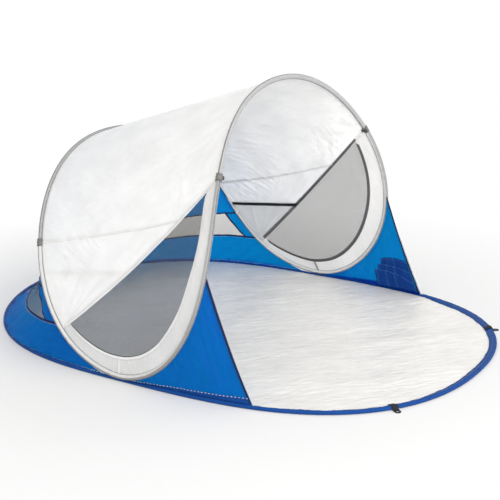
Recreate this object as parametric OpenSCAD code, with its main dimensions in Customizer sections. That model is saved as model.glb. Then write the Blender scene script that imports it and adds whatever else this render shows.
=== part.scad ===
// A pop-up beach windbreak. A flat spring hoop in a blue sleeve carries the floor sheet.
// A second spring hoop, folded up at both sides, makes a tall front arch that leans
// forward and a lower rear arch that leans back. White canopy, mesh side windows with a
// white band, a blue rear wall with a mesh window, and a blue gusset at each front foot.
// +Z is up, the open front faces -Y, and the left side is -X.

/* [Floor] */
// Overall width of the floor, across the two feet of the canopy hoop
floor_width = 1400; // [1100:1:1700]
// Floor length from the feet forward
floor_front = 993; // [800:1:1200]
// Floor length from the feet back
floor_rear = 957; // [800:1:1150]
// Width of the sleeve around the floor hoop
ring_sleeve_w = 28; // [20:1:40]
// Height of the sleeve around the floor hoop
ring_sleeve_h = 7; // [5:0.5:10]

/* [Arches] */
// Height of the front arch, to the middle of its sleeve
front_arch_h = 943; // [750:1:1150]
// How far the front arch leans forward of the feet
front_lean = 212; // [120:1:320]
// Height of the rear arch, to the middle of its sleeve
rear_arch_h = 690; // [550:1:850]
// How far the rear arch leans back from the feet
rear_lean = 560; // [450:1:660]
// Diameter of the sleeve around the canopy hoop
sleeve_d = 18; // [14:1:24]
// Place of the front clips, as a share of the way from a foot to the front crown
front_clip_at = 0.6255; // [0.56:0.001:0.7]
// Place of the rear clips, as a share of the way from a foot to the rear crown
rear_clip_at = 0.602; // [0.56:0.001:0.66]
// Outer diameter of a clip
clip_d = 23; // [20:0.5:30]
// Length of a clip along its sleeve
clip_len = 24; // [16:1:36]

/* [Canopy] */
// Place of the low rear corner of the canopy, as a share of the rear leg
rear_corner_at = 0.32; // [0.26:0.001:0.38]
// Where the side seam meets the lower edge, as a share of that edge from the rear
seam_share = 0.72; // [0.6:0.01:0.8]
// Sag of the lower edge of the canopy at its middle
edge_sag = 20; // [0:1:40]
// How far the lower edge of the canopy draws in at its middle
edge_draw = 25; // [0:1:50]
// Diameter of the binding along the lower edge of the canopy
tape_d = 7; // [5:0.5:10]

/* [Side windows] */
// Width of the white band between the sleeve and the side mesh
side_band_w = 65; // [45:1:85]

/* [Rear wall] */
// Lower edge of the rear window, as a share of the rear leg
window_low = 0.345; // [0.28:0.005:0.38]
// Upper edge of the rear window, as a share of the rear leg
window_high = 0.47; // [0.43:0.005:0.52]
// Width of the solid strip between the rear window and a leg
window_strip_w = 55; // [35:1:80]
// How far the upper rear wall draws in at its middle
wall_draw = 62; // [20:1:80]

/* [Gussets] */
// Top of a gusset, as a share of the front leg
gusset_top = 0.385; // [0.3:0.005:0.45]
// Angle on the floor hoop at which a gusset ends, in degrees forward of the feet
gusset_reach = 20; // [12:0.5:28]
// How far the free edge of a gusset draws back at its middle
gusset_draw = 8; // [0:1:20]
// Diameter of the hem along the free edge of a gusset
hem_d = 7; // [5:0.5:10]
// Number of layers in the stepped pocket on the right gusset
pocket_layers = 3; // [2:1:4]

/* [Corner pockets] */
// Top of a mesh corner pocket, as a share of the rear leg
corner_pocket_at = 0.515; // [0.45:0.005:0.56]
// Front end of a mesh corner pocket, as a share of the canopy's lower edge
corner_pocket_reach = 0.33; // [0.25:0.01:0.4]
// Diameter of the elastic along the top of a corner pocket
elastic_d = 8; // [6:0.5:12]

/* [Peg loops] */
// Angle of a peg loop on the floor hoop, in degrees forward of the feet
loop_angle = 55.5; // [45:0.5:70]
// Width of the loop's webbing
loop_w = 22; // [18:1:30]
// How far a peg loop reaches past the floor hoop, to the middle of its hole
loop_reach = 17; // [14:1:30]
// Diameter of the hole for a peg
peg_hole_d = 10; // [6:0.5:12]

/* [Fabric] */
// Thickness of the fabric sheets
fabric_t = 2; // [1:0.5:3]
// Clearance between neighbouring pieces
gap = 0.3; // [0.2:0.1:0.6]

/* [Hidden] */

half_w = floor_width / 2;
sleeve_r = sleeve_d / 2;
tape_r = tape_d / 2;
hem_r = hem_d / 2;
elastic_r = elastic_d / 2;
// The feet stand on the floor hoop's sleeve, just inside its outer edge
foot_inset = 5;
foot_x = half_w - foot_inset;
foot_z = ring_sleeve_h + gap + sleeve_r;
// The feet are moved so that the origin is under the middle of the floor
foot_y = (floor_front - floor_rear) / 2;

// Handles of the two leg curves, from the foot to the crown, as shares of the sizes
front_handles = [
    [foot_x, 0, foot_z],
    [foot_x, -1.29 * front_lean, foot_z],
    [1.054 * half_w, -2.335 * front_lean, 0.442 * front_arch_h],
    [0.878 * half_w, -1.228 * front_lean, 0.751 * front_arch_h],
    [0.547 * half_w, -front_lean, front_arch_h],
    [0, -front_lean, front_arch_h]];
rear_handles = [
    [foot_x, 0, foot_z],
    [foot_x, 0.202 * rear_lean, foot_z],
    [0.911 * half_w, 0.852 * rear_lean, 0.122 * rear_arch_h],
    [0.941 * half_w, 0.659 * rear_lean, 0.5315 * rear_arch_h],
    [0.7375 * half_w, rear_lean, rear_arch_h],
    [0, rear_lean, rear_arch_h]];

// How square the corners of the floor's outline are: powers of the cosine and the sine
front_powers = [0.871, 0.633];
rear_powers = [1.271, 0.69];
// Even spacing of points along the outline
outline_even = 1.5;

function unit(v) = v / norm(v);
function mix(a, b, t) = a + (b - a) * t;
function flip(p) = [-p[0], p[1], p[2]];
function bezier(p, t) = len(p) == 1 ? p[0] :
    bezier([for (i = [0 : len(p) - 2]) mix(p[i], p[i + 1], t)], t);
function pull(p, next, d) = p + d * unit(next - p);
// A row of points with its two ends drawn in from what they are sewn to
function drawn_in(row, d0, d1) = [for (j = [0 : len(row) - 1])
    j == 0 ? pull(row[0], row[1], d0) :
    j == len(row) - 1 ? pull(row[j], row[j - 1], d1) : row[j]];

// Right legs of the canopy hoop
function front_leg(t) = bezier(front_handles, t) + [0, foot_y, 0];
function rear_leg(t) = bezier(rear_handles, t) + [0, foot_y, 0];
function front_way(t) = (front_leg(t + 0.001) - front_leg(t - 0.001)) / 0.002;
function rear_way(t) = (rear_leg(t + 0.001) - rear_leg(t - 0.001)) / 0.002;

// Outline of the floor: 0 at the right foot, 90 at the rear, 270 at the front
function powered(v, p) = sign(v) * pow(abs(v), p);
function outline(a) = let (p = sin(a) < 0 ? front_powers : rear_powers,
    reach = sin(a) < 0 ? floor_front : floor_rear)
    [half_w * powered(cos(a), p[0]), foot_y + reach * powered(sin(a), p[1])];
function outline_normal(a) = let (d = outline(a + 0.5) - outline(a - 0.5))
    [d[1], -d[0]] / norm(d);
function inside(a, d) = outline(a) - d * outline_normal(a);
quarter_steps = 14;
function quarter_angle(q, i) = let (s = pow(i / quarter_steps, outline_even))
    q == 0 ? 90 * s : q == 1 ? 180 - 90 * s : q == 2 ? 180 + 90 * s : 360 - 90 * s;
function quarter_angles(q) = [for (i = [0 : quarter_steps]) quarter_angle(q, i)];

// A closed sheet of one thickness around a grid of points
function grid_normal(g, i, j) = let (m = len(g) - 1, n = len(g[0]) - 1,
    a = g[min(i + 1, m)][j] - g[max(i - 1, 0)][j],
    b = g[i][min(j + 1, n)] - g[i][max(j - 1, 0)]) unit(cross(a, b));
function split(a, b, c, d) = [[a, b, c], [a, c, d]];
module sheet(g, t = fabric_t) {
    m = len(g);
    n = len(g[0]);
    k = m * n;
    normals = [for (i = [0 : m - 1]) [for (j = [0 : n - 1]) grid_normal(g, i, j)]];
    upper = [for (i = [0 : m - 1]) for (j = [0 : n - 1]) g[i][j] + normals[i][j] * t / 2];
    lower = [for (i = [0 : m - 1]) for (j = [0 : n - 1]) g[i][j] - normals[i][j] * t / 2];
    faces = [
        for (i = [0 : m - 2]) for (j = [0 : n - 2]) let (a = i * n + j)
            each concat(split(a, a + 1, a + n + 1, a + n), split(k + a, k + a + n, k + a + n + 1, k + a + 1)),
        for (i = [0 : m - 2]) let (a = i * n, b = a + n, c = a + n - 1, d = b + n - 1)
            each concat(split(a, b, k + b, k + a), split(d, c, k + c, k + d)),
        for (j = [0 : n - 2]) let (a = j, b = (m - 1) * n + j)
            each concat(split(a + 1, a, k + a, k + a + 1), split(b, b + 1, k + b + 1, k + b))];
    polyhedron(concat(upper, lower), faces, convexity = 8);
}

// A round tube or cord swept along points; side is a direction that it never runs along
tube_sides = 8;
module tube(path, r, side) {
    n = len(path);
    ways = [for (i = [0 : n - 1]) unit(path[min(i + 1, n - 1)] - path[max(i - 1, 0)])];
    points = [for (i = [0 : n - 1]) let (w = ways[i], u = unit(side - (side * w) * w), v = cross(w, u))
        for (k = [0 : tube_sides - 1])
            path[i] + r * (cos(360 * k / tube_sides) * u + sin(360 * k / tube_sides) * v)];
    last = (n - 1) * tube_sides;
    faces = [
        for (i = [0 : n - 2]) for (k = [0 : tube_sides - 1])
            let (a = i * tube_sides + k, b = i * tube_sides + (k + 1) % tube_sides)
            each split(a, a + tube_sides, b + tube_sides, b),
        for (k = [1 : tube_sides - 2]) [0, k, k + 1],
        for (k = [1 : tube_sides - 2]) [last, last + k + 1, last + k]];
    polyhedron(points, faces, convexity = 8);
}

module on_left() {
    mirror([1, 0, 0]) children();
}

// Floor and its hoop
module floor_sheet() {
    color("gainsboro")
        linear_extrude(fabric_t)
            polygon([for (q = [0 : 3]) let (a = quarter_angles(q))
                for (i = [0 : quarter_steps - 1])
                    inside(a[q % 2 == 0 ? i : quarter_steps - i], ring_sleeve_w)]);
}

module ring_part(q) {
    angles = quarter_angles(q);
    color("royalblue")
        linear_extrude(ring_sleeve_h)
            polygon(concat([for (a = angles) outline(a)],
                [for (i = [quarter_steps : -1 : 0]) inside(angles[i], ring_sleeve_w)]));
}

module ring_rear_right() { ring_part(0); }
module ring_rear_left() { ring_part(1); }
module ring_front_left() { ring_part(2); }
module ring_front_right() { ring_part(3); }

// Canopy hoop: two arches and two sides, joined at four clips
sleeve_colour = "silver";
arch_steps = 20;
// How far the slanting end of a sleeve leans towards its clip, as a share of its radius
end_slant = 0.07;
clip_end = clip_len / 2 + gap + end_slant * sleeve_r;
front_top_start = front_clip_at + clip_end / norm(front_way(front_clip_at));
rear_top_start = rear_clip_at + clip_end / norm(rear_way(rear_clip_at));
front_side_end = front_clip_at - clip_end / norm(front_way(front_clip_at));
rear_side_end = rear_clip_at - clip_end / norm(rear_way(rear_clip_at));
function arch_share(start, c) = 1 - (1 - start) * abs(c);
arch_row = [for (i = [-arch_steps / 2 : arch_steps / 2]) 2 * i / arch_steps];

module front_arch_sleeve() {
    color(sleeve_colour)
        tube([for (c = arch_row) let (p = front_leg(arch_share(front_top_start, c)))
            c < 0 ? flip(p) : p], sleeve_r, [0, 1, 0]);
}

module rear_arch_sleeve() {
    color(sleeve_colour)
        tube([for (c = arch_row) let (p = rear_leg(arch_share(rear_top_start, c)))
            c < 0 ? flip(p) : p], sleeve_r, [0, 1, 0]);
}

front_side_steps = 16;
rear_side_steps = 12;
module right_side_sleeve() {
    front = [for (i = [front_side_steps : -1 : 1]) front_leg(front_side_end * i / front_side_steps)];
    rear = [for (i = [0 : rear_side_steps]) rear_leg(rear_side_end * i / rear_side_steps)];
    color(sleeve_colour)
        tube(concat(front, rear), sleeve_r, [1, 0, 0]);
}

module left_side_sleeve() { on_left() right_side_sleeve(); }

module clip(p, way) {
    w = unit(way);
    color("dimgray")
        translate(p)
            rotate([0, acos(w[2]), atan2(w[1], w[0])])
                cylinder(h = clip_len, d = clip_d, center = true, $fn = 32);
}

module right_front_clip() { clip(front_leg(front_clip_at), front_way(front_clip_at)); }
module left_front_clip() { on_left() right_front_clip(); }
module right_rear_clip() { clip(rear_leg(rear_clip_at), rear_way(rear_clip_at)); }
module left_rear_clip() { on_left() right_rear_clip(); }

// Clearance of a sheet from the middle of the hoop, wider beside a clip
sewn_gap = 0.6;
clip_zone = clip_len / 2 + 8;
clip_spots = [front_leg(front_clip_at), rear_leg(rear_clip_at)];
hoop_path = concat([for (i = [40 : -1 : 1]) front_leg(i / 40)], [for (i = [0 : 40]) rear_leg(i / 40)]);
function across(p) = [abs(p[0]), p[1], p[2]];
function near_on(p, a, b) = let (d = b - a) a + min(1, max(0, (p - a) * d / (d * d))) * d;
function hoop_near(q) = let (
    spots = [for (i = [0 : len(hoop_path) - 2]) near_on(q, hoop_path[i], hoop_path[i + 1])],
    gaps = [for (spot = spots) norm(q - spot)]) spots[search(min(gaps), gaps)[0]];
function hoop_distance(p) = norm(across(p) - hoop_near(across(p)));
function hoop_clear(spot) = min([for (c = clip_spots) norm(spot - c)]) < clip_zone ?
    clip_d / 2 + sewn_gap : sleeve_r + sewn_gap;
// A point of a sheet, moved out of the hoop's sleeve if it lies in it
function off_hoop(p, more) = let (q = across(p), spot = hoop_near(q), c = hoop_clear(spot) + more,
    moved = norm(q - spot) < c ? spot + c * unit(q - spot) : q) p[0] < 0 ? flip(moved) : moved;
function clear_grid(g, more = 0) = [for (row = g) [for (p = row) off_hoop(p, more)]];
// The first share of a path at which a tube around it is clear of the hoop
function first_clear(path_shares, distances, least) =
    [for (i = [0 : len(distances) - 1]) if (distances[i] > least) path_shares[i]][0];

// Lower edge of the canopy, from the low rear corner to the front clip
function canopy_edge(v) =
    mix(rear_leg(rear_corner_at), front_leg(front_clip_at), v) - 4 * v * (1 - v) * [edge_draw, 0, edge_sag];

// Canopy: a runs from the lower edge to the crown, b from the rear arch to the front arch
function canopy_point(a, b) =
    mix(rear_leg(mix(rear_corner_at, 1, a)), front_leg(mix(front_clip_at, 1, a)), b)
    - 4 * b * (1 - b) * pow(1 - a, draw_fade) * [edge_draw, 0, edge_sag];
// Share of the girth that the binding takes from the lower edge
edge_start = 0.008;
seam_rear = (rear_clip_at - rear_corner_at) / (1 - rear_corner_at);
// Share of the girth that is left open at a seam
seam_open = 0.0003;
function seam_at(b) = max(edge_start, seam_rear * (1 - b / seam_share));
canopy_steps = 12;
girth_steps = 13;
// How fast the draw of the lower edge fades towards the crown
draw_fade = 3;
function share_rows(n) = [for (i = [0 : n]) i / n];

module canopy_top() {
    rows = [for (c = [-girth_steps : girth_steps]) let (k = 1 - abs(c) / girth_steps)
        drawn_in([for (b = share_rows(canopy_steps)) let (a = mix(seam_at(b) + seam_open, 1, k))
            c < 0 ? flip(canopy_point(a, b)) : canopy_point(a, b)], sleeve_r + sewn_gap, sleeve_r + sewn_gap)];
    color("whitesmoke") sheet(clear_grid(rows, gap));
}

side_panel_steps = 8;
side_panel_rows = 6;
side_panel_end = 0.96;
module right_canopy_side() {
    rows = [for (k = share_rows(side_panel_rows))
        drawn_in([for (i = share_rows(side_panel_steps)) let (b = i * side_panel_end * seam_share)
            canopy_point(mix(edge_start, seam_at(b) - seam_open, k), b)], sleeve_r + sewn_gap, gap)];
    color("white") sheet(clear_grid(rows));
}

module left_canopy_side() { on_left() right_canopy_side(); }

tape_steps = 14;
tape_start = 0.025;
module right_canopy_tape() {
    color("dimgray")
        tube([for (i = share_rows(tape_steps)) canopy_edge(mix(tape_start, 1 - tape_start, i))], tape_r, [1, 0, 0]);
}

module left_canopy_tape() { on_left() right_canopy_tape(); }

// Side window: v runs along the hoop from the low rear corner, past the foot, to the front clip
foot_share = 0.26;
function hoop_point(v) = v < foot_share ? rear_leg(rear_corner_at * (1 - v / foot_share)) :
    front_leg(front_clip_at * (v - foot_share) / (1 - foot_share));
function window_span(v) = norm(canopy_edge(v) - hoop_point(v));
function side_point(v, d) = pull(hoop_point(v), canopy_edge(v), d);
tape_clear = tape_r + gap;
function band_reach(v) = min(side_band_w, window_span(v) - tape_clear);
band_start = 0.02;
band_stop = 0.97;
foot_seam = 0.0004;
band_rows = 3;
front_band_steps = 16;
rear_band_steps = 8;
front_band_shares = [for (i = share_rows(front_band_steps)) mix(foot_share, band_stop, i)];
rear_band_shares = [for (i = share_rows(rear_band_steps)) mix(band_start, foot_share, i)];

module side_band(shares) {
    rows = [for (v = shares)
        [for (k = share_rows(band_rows)) side_point(v, mix(sleeve_r + sewn_gap, band_reach(v), k))]];
    color("white") sheet(clear_grid(rows));
}

module right_front_band() {
    side_band([for (v = front_band_shares) max(v, foot_share + foot_seam)]);
}
module left_front_band() { on_left() right_front_band(); }
module right_rear_band() {
    side_band([for (v = rear_band_shares) min(v, foot_share - foot_seam)]);
}
module left_rear_band() { on_left() right_rear_band(); }

// Narrowest strip of side mesh that is made
least_mesh = 8;
mesh_rows = 5;
function mesh_room(v) = window_span(v) - side_band_w - gap - tape_clear;
module right_side_mesh() {
    shares = concat(rear_band_shares, [for (i = [1 : front_band_steps]) front_band_shares[i]]);
    rows = [for (v = shares) if (mesh_room(v) > least_mesh)
        [for (k = share_rows(mesh_rows)) side_point(v, side_band_w + gap + mesh_room(v) * k)]];
    color("lightgray") sheet(rows);
}

module left_side_mesh() { on_left() right_side_mesh(); }

// Rear wall: level curves that bulge to the rear, round at the floor and flat higher up
wall_start = 0.09;
wall_base = ring_sleeve_h + gap + fabric_t / 2;
// Powers that shape how the bulge shrinks with height
bulge_powers = [1.5, 3.5];
// Shares of the leg at which the level curves have lost the floor's square corners
round_at = [0.35, 0.6];
// How fast the wall's lower edge rises from the floor hoop to the legs
drop_fade = 8;
function wall_bulge(u) = floor_rear * pow(1 - pow(u, bulge_powers[0]), bulge_powers[1]);
function wall_powers(u) = [mix(rear_powers[0], 1, min(1, u / round_at[0])),
    mix(rear_powers[1], 2, pow(min(1, u / round_at[1]), 3))];
function wall_point(u, a) = let (p = rear_leg(u), w = wall_powers(u),
    drop = (rear_leg(wall_start)[2] - wall_base) * pow((1 - u) / (1 - wall_start), drop_fade))
    [p[0] * powered(cos(a), w[0]), p[1] + wall_bulge(u) * powered(sin(a), w[1]), p[2] - drop];
wall_even = 1.35;
function wall_angle(s) = s < 0.5 ? 90 * pow(2 * s, wall_even) : 180 - 90 * pow(2 - 2 * s, wall_even);
wall_steps = 24;
lower_rows = 5;
wall_seam = 0.0006;
leg_clear = sleeve_r + sewn_gap;

module rear_lower_panel() {
    rows = [for (i = share_rows(lower_rows)) let (u = mix(wall_start, window_low - wall_seam, i))
        drawn_in([for (s = share_rows(wall_steps)) wall_point(u, wall_angle(s))], leg_clear, leg_clear)];
    color("dodgerblue") sheet(clear_grid(rows));
}

// Angle on a level curve at which the window ends
function strip_angle(u) = let (a = [for (a = [4 : 0.5 : 40])
    if (norm(wall_point(u, a) - wall_point(u, 0)) > window_strip_w) a]) a[0];
strip_low = strip_angle(window_low);
strip_high = strip_angle(window_high);
function strip_side(i) = mix(strip_low, strip_high, i);
window_rows = 4;
strip_steps = 3;

module rear_window_mesh() {
    rows = [for (i = share_rows(window_rows)) let (u = mix(window_low + wall_seam, window_high - wall_seam, i))
        drawn_in([for (s = share_rows(wall_steps)) wall_point(u, mix(strip_side(i), 180 - strip_side(i), s))],
            gap, gap)];
    color("darkgray") sheet(rows);
}

module rear_right_strip() {
    rows = [for (i = share_rows(window_rows)) let (u = mix(window_low + wall_seam, window_high - wall_seam, i))
        drawn_in([for (s = share_rows(strip_steps)) wall_point(u, strip_side(i) * s)], leg_clear, gap)];
    color("dodgerblue") sheet(clear_grid(rows));
}

module rear_left_strip() { on_left() rear_right_strip(); }

upper_end = 0.97;
upper_columns = 10;
upper_rows = 6;
// How the seam's points crowd towards the middle of the wall
upper_even = 1.2;
// Distance of the upper panel's lower corners from the legs
upper_corner = sleeve_d;
corner_angle = [for (a = [1 : 0.25 : 30])
    if (norm(wall_point(window_high, a) - wall_point(window_high, 0)) > upper_corner) a][0];
module rear_upper_panel() {
    columns = [for (i = [-upper_columns : upper_columns]) let (s = abs(i) / upper_columns,
        c = upper_end * i / upper_columns,
        low = wall_point(window_high + wall_seam, mix(90, corner_angle, pow(s, upper_even))),
        high = rear_leg(arch_share(window_high + wall_seam, c)), draw = [0, -4 * wall_draw * (1 - s * s), 0])
        [for (p = drawn_in([for (k = share_rows(upper_rows)) mix(low, high, k) + k * (1 - k) * draw], 0, leg_clear))
            c < 0 ? flip(p) : p]];
    color("dodgerblue") sheet(clear_grid(columns, fabric_t));
}

// Front gussets, between a front leg and the floor hoop
gusset_start = 0.2;
gusset_steps = 10;
base_z = ring_sleeve_h + gap;
function gusset_leg(s) = front_leg(gusset_top * s);
function gusset_foot(s) = let (p = inside(360 - gusset_reach * pow(s, outline_even), ring_sleeve_w / 2))
    [p[0], p[1], base_z];
function gusset_edge(k) = mix(gusset_leg(1), gusset_foot(1), k) + [0, 4 * gusset_draw * k * (1 - k), 0];
function gusset_point(s, k) = mix(gusset_leg(s), gusset_foot(s), k)
    + [0, 4 * gusset_draw * k * (1 - k) * s * s, 0];
gusset_rows = 6;
hem_steps = 8;
// Shares of a path at which a tube may first be clear of the hoop
start_shares = [for (i = [0 : 60]) i / 200];
// Share of the gusset that the hem takes at the free edge
hem_share = 0.025;

module right_gusset() {
    columns = [for (i = share_rows(gusset_steps)) let (s = mix(gusset_start, 1 - hem_share, i))
        drawn_in([for (k = share_rows(gusset_rows)) gusset_point(s, k)], leg_clear, fabric_t / 2 + gap)];
    color("royalblue") sheet(clear_grid(columns));
}

module left_gusset() { on_left() right_gusset(); }

module right_gusset_hem() {
    fall = gusset_edge(1) - gusset_edge(1 - hem_share);
    top = first_clear(start_shares, [for (k = start_shares) hoop_distance(gusset_edge(k))],
        sleeve_r + hem_r + gap);
    // The low side of the slanting end stands on the sleeve of the floor hoop
    stop = 1 - hem_share * hem_r * norm([fall[0], fall[1]]) / (norm(fall) * abs(fall[2]));
    color("navy")
        tube([for (k = share_rows(hem_steps)) gusset_edge(mix(top, stop, k))], hem_r, [1, 0, 0]);
}

module left_gusset_hem() { on_left() right_gusset_hem(); }

// A grid of points moved along its own normals
function lifted(g, d) = [for (i = [0 : len(g) - 1]) [for (j = [0 : len(g[0]) - 1])
    g[i][j] + d * grid_normal(g, i, j)]];

// Stepped pocket: layers on the inner face of the right gusset, each shorter and lower
layer_columns = 5;
layer_rows = 3;
pocket_front = 1 - 2 * hem_share;
pocket_layer_t = 1.5;
pocket_low = 0.96;
pocket_tops = 0.56;
pocket_backs = 0.5;
pocket_step = 0.1;
function layer_lift(n) = fabric_t / 2 + sewn_gap + (n + 0.5) * pocket_layer_t;
function layer_grid(n) = [for (i = share_rows(layer_columns))
    let (s = mix(pocket_backs + pocket_step * n, pocket_front, i))
    [for (k = share_rows(layer_rows)) gusset_point(s, mix(pocket_tops + pocket_step * n, pocket_low, k))]];
module right_gusset_pocket() {
    color("midnightblue")
        for (n = [0 : pocket_layers - 1])
            sheet(lifted(layer_grid(n), -layer_lift(n)), pocket_layer_t);
}

// Mesh pockets in the low rear corners of the canopy, with elastic along the top
pocket_inset = 3;
elastic_inset = fabric_t / 2 + elastic_r + gap;
pocket_sag = 16;
pocket_start = 0.16;
corner_rows = 6;
elastic_steps = 6;
function pocket_rear(s) = rear_leg(mix(rear_corner_at, corner_pocket_at, s));
function pocket_front_edge(s) = canopy_edge(corner_pocket_reach * s);
function pocket_point(s, k) = mix(pocket_rear(s), pocket_front_edge(s), k)
    - [mix(pocket_inset, elastic_inset, s * s) + 4 * pocket_sag * k * (1 - k) * s, 0, 0];
function pocket_row(s) = drawn_in([for (k = share_rows(corner_rows)) pocket_point(s, k)], sleeve_r, tape_r + gap);
pocket_last = 0.9;
module right_pocket_mesh() {
    rows = [for (i = share_rows(corner_rows)) let (s = mix(pocket_start, pocket_last, i)) pocket_row(s)];
    top = [for (k = [0 : corner_rows])
        pull(pocket_row(1)[k], rows[corner_rows][k], elastic_r + fabric_t / 2 + gap)];
    color("lightgray") sheet(clear_grid(concat(rows, [top]), sewn_gap));
}

module left_pocket_mesh() { on_left() right_pocket_mesh(); }

module right_pocket_elastic() {
    span = norm(pocket_point(1, 1) - pocket_point(1, 0));
    start = first_clear(start_shares, [for (k = start_shares) hoop_distance(pocket_point(1, k))],
        sleeve_r + elastic_r + gap);
    stop = 1 - (tape_r + elastic_r + gap) / span;
    color("black")
        tube([for (k = share_rows(elastic_steps)) pocket_point(1, mix(start, stop, k))], elastic_r, [1, 0, 0]);
}

module left_pocket_elastic() { on_left() right_pocket_elastic(); }

// Peg loops: webbing over the floor hoop's sleeve, with an eyed tongue outside it
webbing_t = 2;
module right_peg_loop() {
    a = 360 - loop_angle;
    p = outline(a);
    way = outline_normal(a);
    top = ring_sleeve_h + gap;
    color("black")
        translate([p[0], p[1], 0])
            rotate([0, 0, atan2(way[1], way[0])])
                difference() {
                    union() {
                        translate([-ring_sleeve_w, -loop_w / 2, top])
                            cube([ring_sleeve_w + gap + webbing_t, loop_w, webbing_t]);
                        translate([gap, -loop_w / 2, 0])
                            cube([webbing_t, loop_w, top + webbing_t]);
                        translate([gap, -loop_w / 2, 0])
                            cube([loop_reach, loop_w, webbing_t]);
                        translate([gap + loop_reach, 0, 0])
                            cylinder(h = webbing_t, d = loop_w, $fn = 48);
                    }
                    translate([gap + loop_reach, 0, -1])
                        cylinder(h = webbing_t + 2, d = peg_hole_d, $fn = 48);
                }
}

module left_peg_loop() { on_left() right_peg_loop(); }

floor_sheet();
ring_front_left();
ring_front_right();
ring_rear_left();
ring_rear_right();
front_arch_sleeve();
rear_arch_sleeve();
left_side_sleeve();
right_side_sleeve();
left_front_clip();
right_front_clip();
left_rear_clip();
right_rear_clip();
canopy_top();
left_canopy_side();
right_canopy_side();
left_canopy_tape();
right_canopy_tape();
left_front_band();
right_front_band();
left_rear_band();
right_rear_band();
left_side_mesh();
right_side_mesh();
rear_lower_panel();
rear_upper_panel();
rear_left_strip();
rear_right_strip();
rear_window_mesh();
left_gusset();
right_gusset();
left_gusset_hem();
right_gusset_hem();
right_gusset_pocket();
left_pocket_mesh();
right_pocket_mesh();
left_pocket_elastic();
right_pocket_elastic();
left_peg_loop();
right_peg_loop();
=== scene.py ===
"""The looks of a pop-up beach windbreak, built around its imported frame. All sizes are in metres.

Sheets are grids of points on the same curves and surfaces as the CAD part, with their wrinkles as
geometry. Everything that comes in pairs is built for the right side (+X) and mirrored for the left.
"""

import math

import bpy
import numpy as np
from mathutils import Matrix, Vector


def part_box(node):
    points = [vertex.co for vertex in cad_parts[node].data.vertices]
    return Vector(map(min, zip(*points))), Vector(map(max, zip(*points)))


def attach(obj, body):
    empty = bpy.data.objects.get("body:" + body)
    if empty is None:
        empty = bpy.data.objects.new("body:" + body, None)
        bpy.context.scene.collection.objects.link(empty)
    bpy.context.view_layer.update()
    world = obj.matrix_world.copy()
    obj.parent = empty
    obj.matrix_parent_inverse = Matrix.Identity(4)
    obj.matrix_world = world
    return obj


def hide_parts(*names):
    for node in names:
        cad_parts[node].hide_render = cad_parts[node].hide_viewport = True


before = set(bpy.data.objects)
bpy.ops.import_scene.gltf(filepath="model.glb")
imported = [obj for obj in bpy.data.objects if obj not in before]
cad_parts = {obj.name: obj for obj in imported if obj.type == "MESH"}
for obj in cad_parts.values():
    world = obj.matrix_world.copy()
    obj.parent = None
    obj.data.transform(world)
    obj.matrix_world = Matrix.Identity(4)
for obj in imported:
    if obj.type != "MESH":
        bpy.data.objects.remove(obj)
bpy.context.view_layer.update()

# ---------------------------------------------------------------- sizes

SLEEVE_R = 0.009
HALF_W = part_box("ring_rear_right")[1].x
REAR_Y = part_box("ring_rear_right")[1].y
FRONT_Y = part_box("ring_front_right")[0].y
RING_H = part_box("ring_front_right")[1].z
FRONT_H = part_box("front_arch_sleeve")[1].z - SLEEVE_R
REAR_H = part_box("rear_arch_sleeve")[1].z - SLEEVE_R
RING_W = 0.028
FOOT_Y = 0.018
FOOT_X = HALF_W - 0.005
FOOT_Z = RING_H + SLEEVE_R + 0.0003
FRONT_LEAN, REAR_LEAN = 0.212, 0.560
FRONT_REACH, REAR_REACH = FOOT_Y - FRONT_Y, REAR_Y - FOOT_Y
FRONT_POWERS, REAR_POWERS = (0.871, 0.633), (1.271, 0.69)
FRONT_CLIP, REAR_CLIP = 0.6255, 0.602
REAR_CORNER = 0.32
SEAM_SHARE = 0.76
SEAM_BOW = 0.034
EDGE_SAG, EDGE_DRAW = 0.020, 0.025
BAND_W, BAND_WIDER = 0.070, 0.016
FOOT_SHARE = 0.26
WALL_START, WINDOW_LOW, WINDOW_HIGH = 0.09, 0.345, 0.47
STRIP_W, WALL_DRAW = 0.055, 0.062
GUSSET_TOP, GUSSET_REACH, GUSSET_DRAW = 0.42, 20, 0.008
POCKET_TOP, POCKET_REACH, POCKET_SAG = 0.515, 0.41, 0.016
LOOP_ANGLE = 304.5
CLOTH_T = 0.0009
NET_T = 0.00025
SEWN_AT = SLEEVE_R - 0.001  # how far from a sleeve's middle the cloth sewn to it ends
MIDDLE = np.array([0, 0.1, 0.25])
RIGHT_SIDE, LEFT_SIDE = np.ones(3), np.array([-1, 1, 1])

# ---------------------------------------------------------------- curves and surfaces


def mix(a, b, t):
    return a + (b - a) * t


def unit(v):
    return v / np.maximum(np.linalg.norm(v, axis=-1, keepdims=True), 1e-12)


def spaced(a, b, n):
    return np.linspace(a, b, n + 1)


def eased(t):
    """A share from 0 to 1 that starts and ends slowly."""
    return t * t * (3 - 2 * t)


def turns(n):
    """n angles evenly round a circle."""
    return 2 * math.pi * np.arange(n) / n


def points(x, y, z):
    return np.stack(np.broadcast_arrays(x, y, z), axis=-1).astype(float)


def bezier(handles, t):
    t = np.asarray(t, float)[..., None]
    n = len(handles) - 1
    return sum(
        math.comb(n, i) * t**i * (1 - t) ** (n - i) * np.array(h) for i, h in enumerate(handles)
    )


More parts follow.
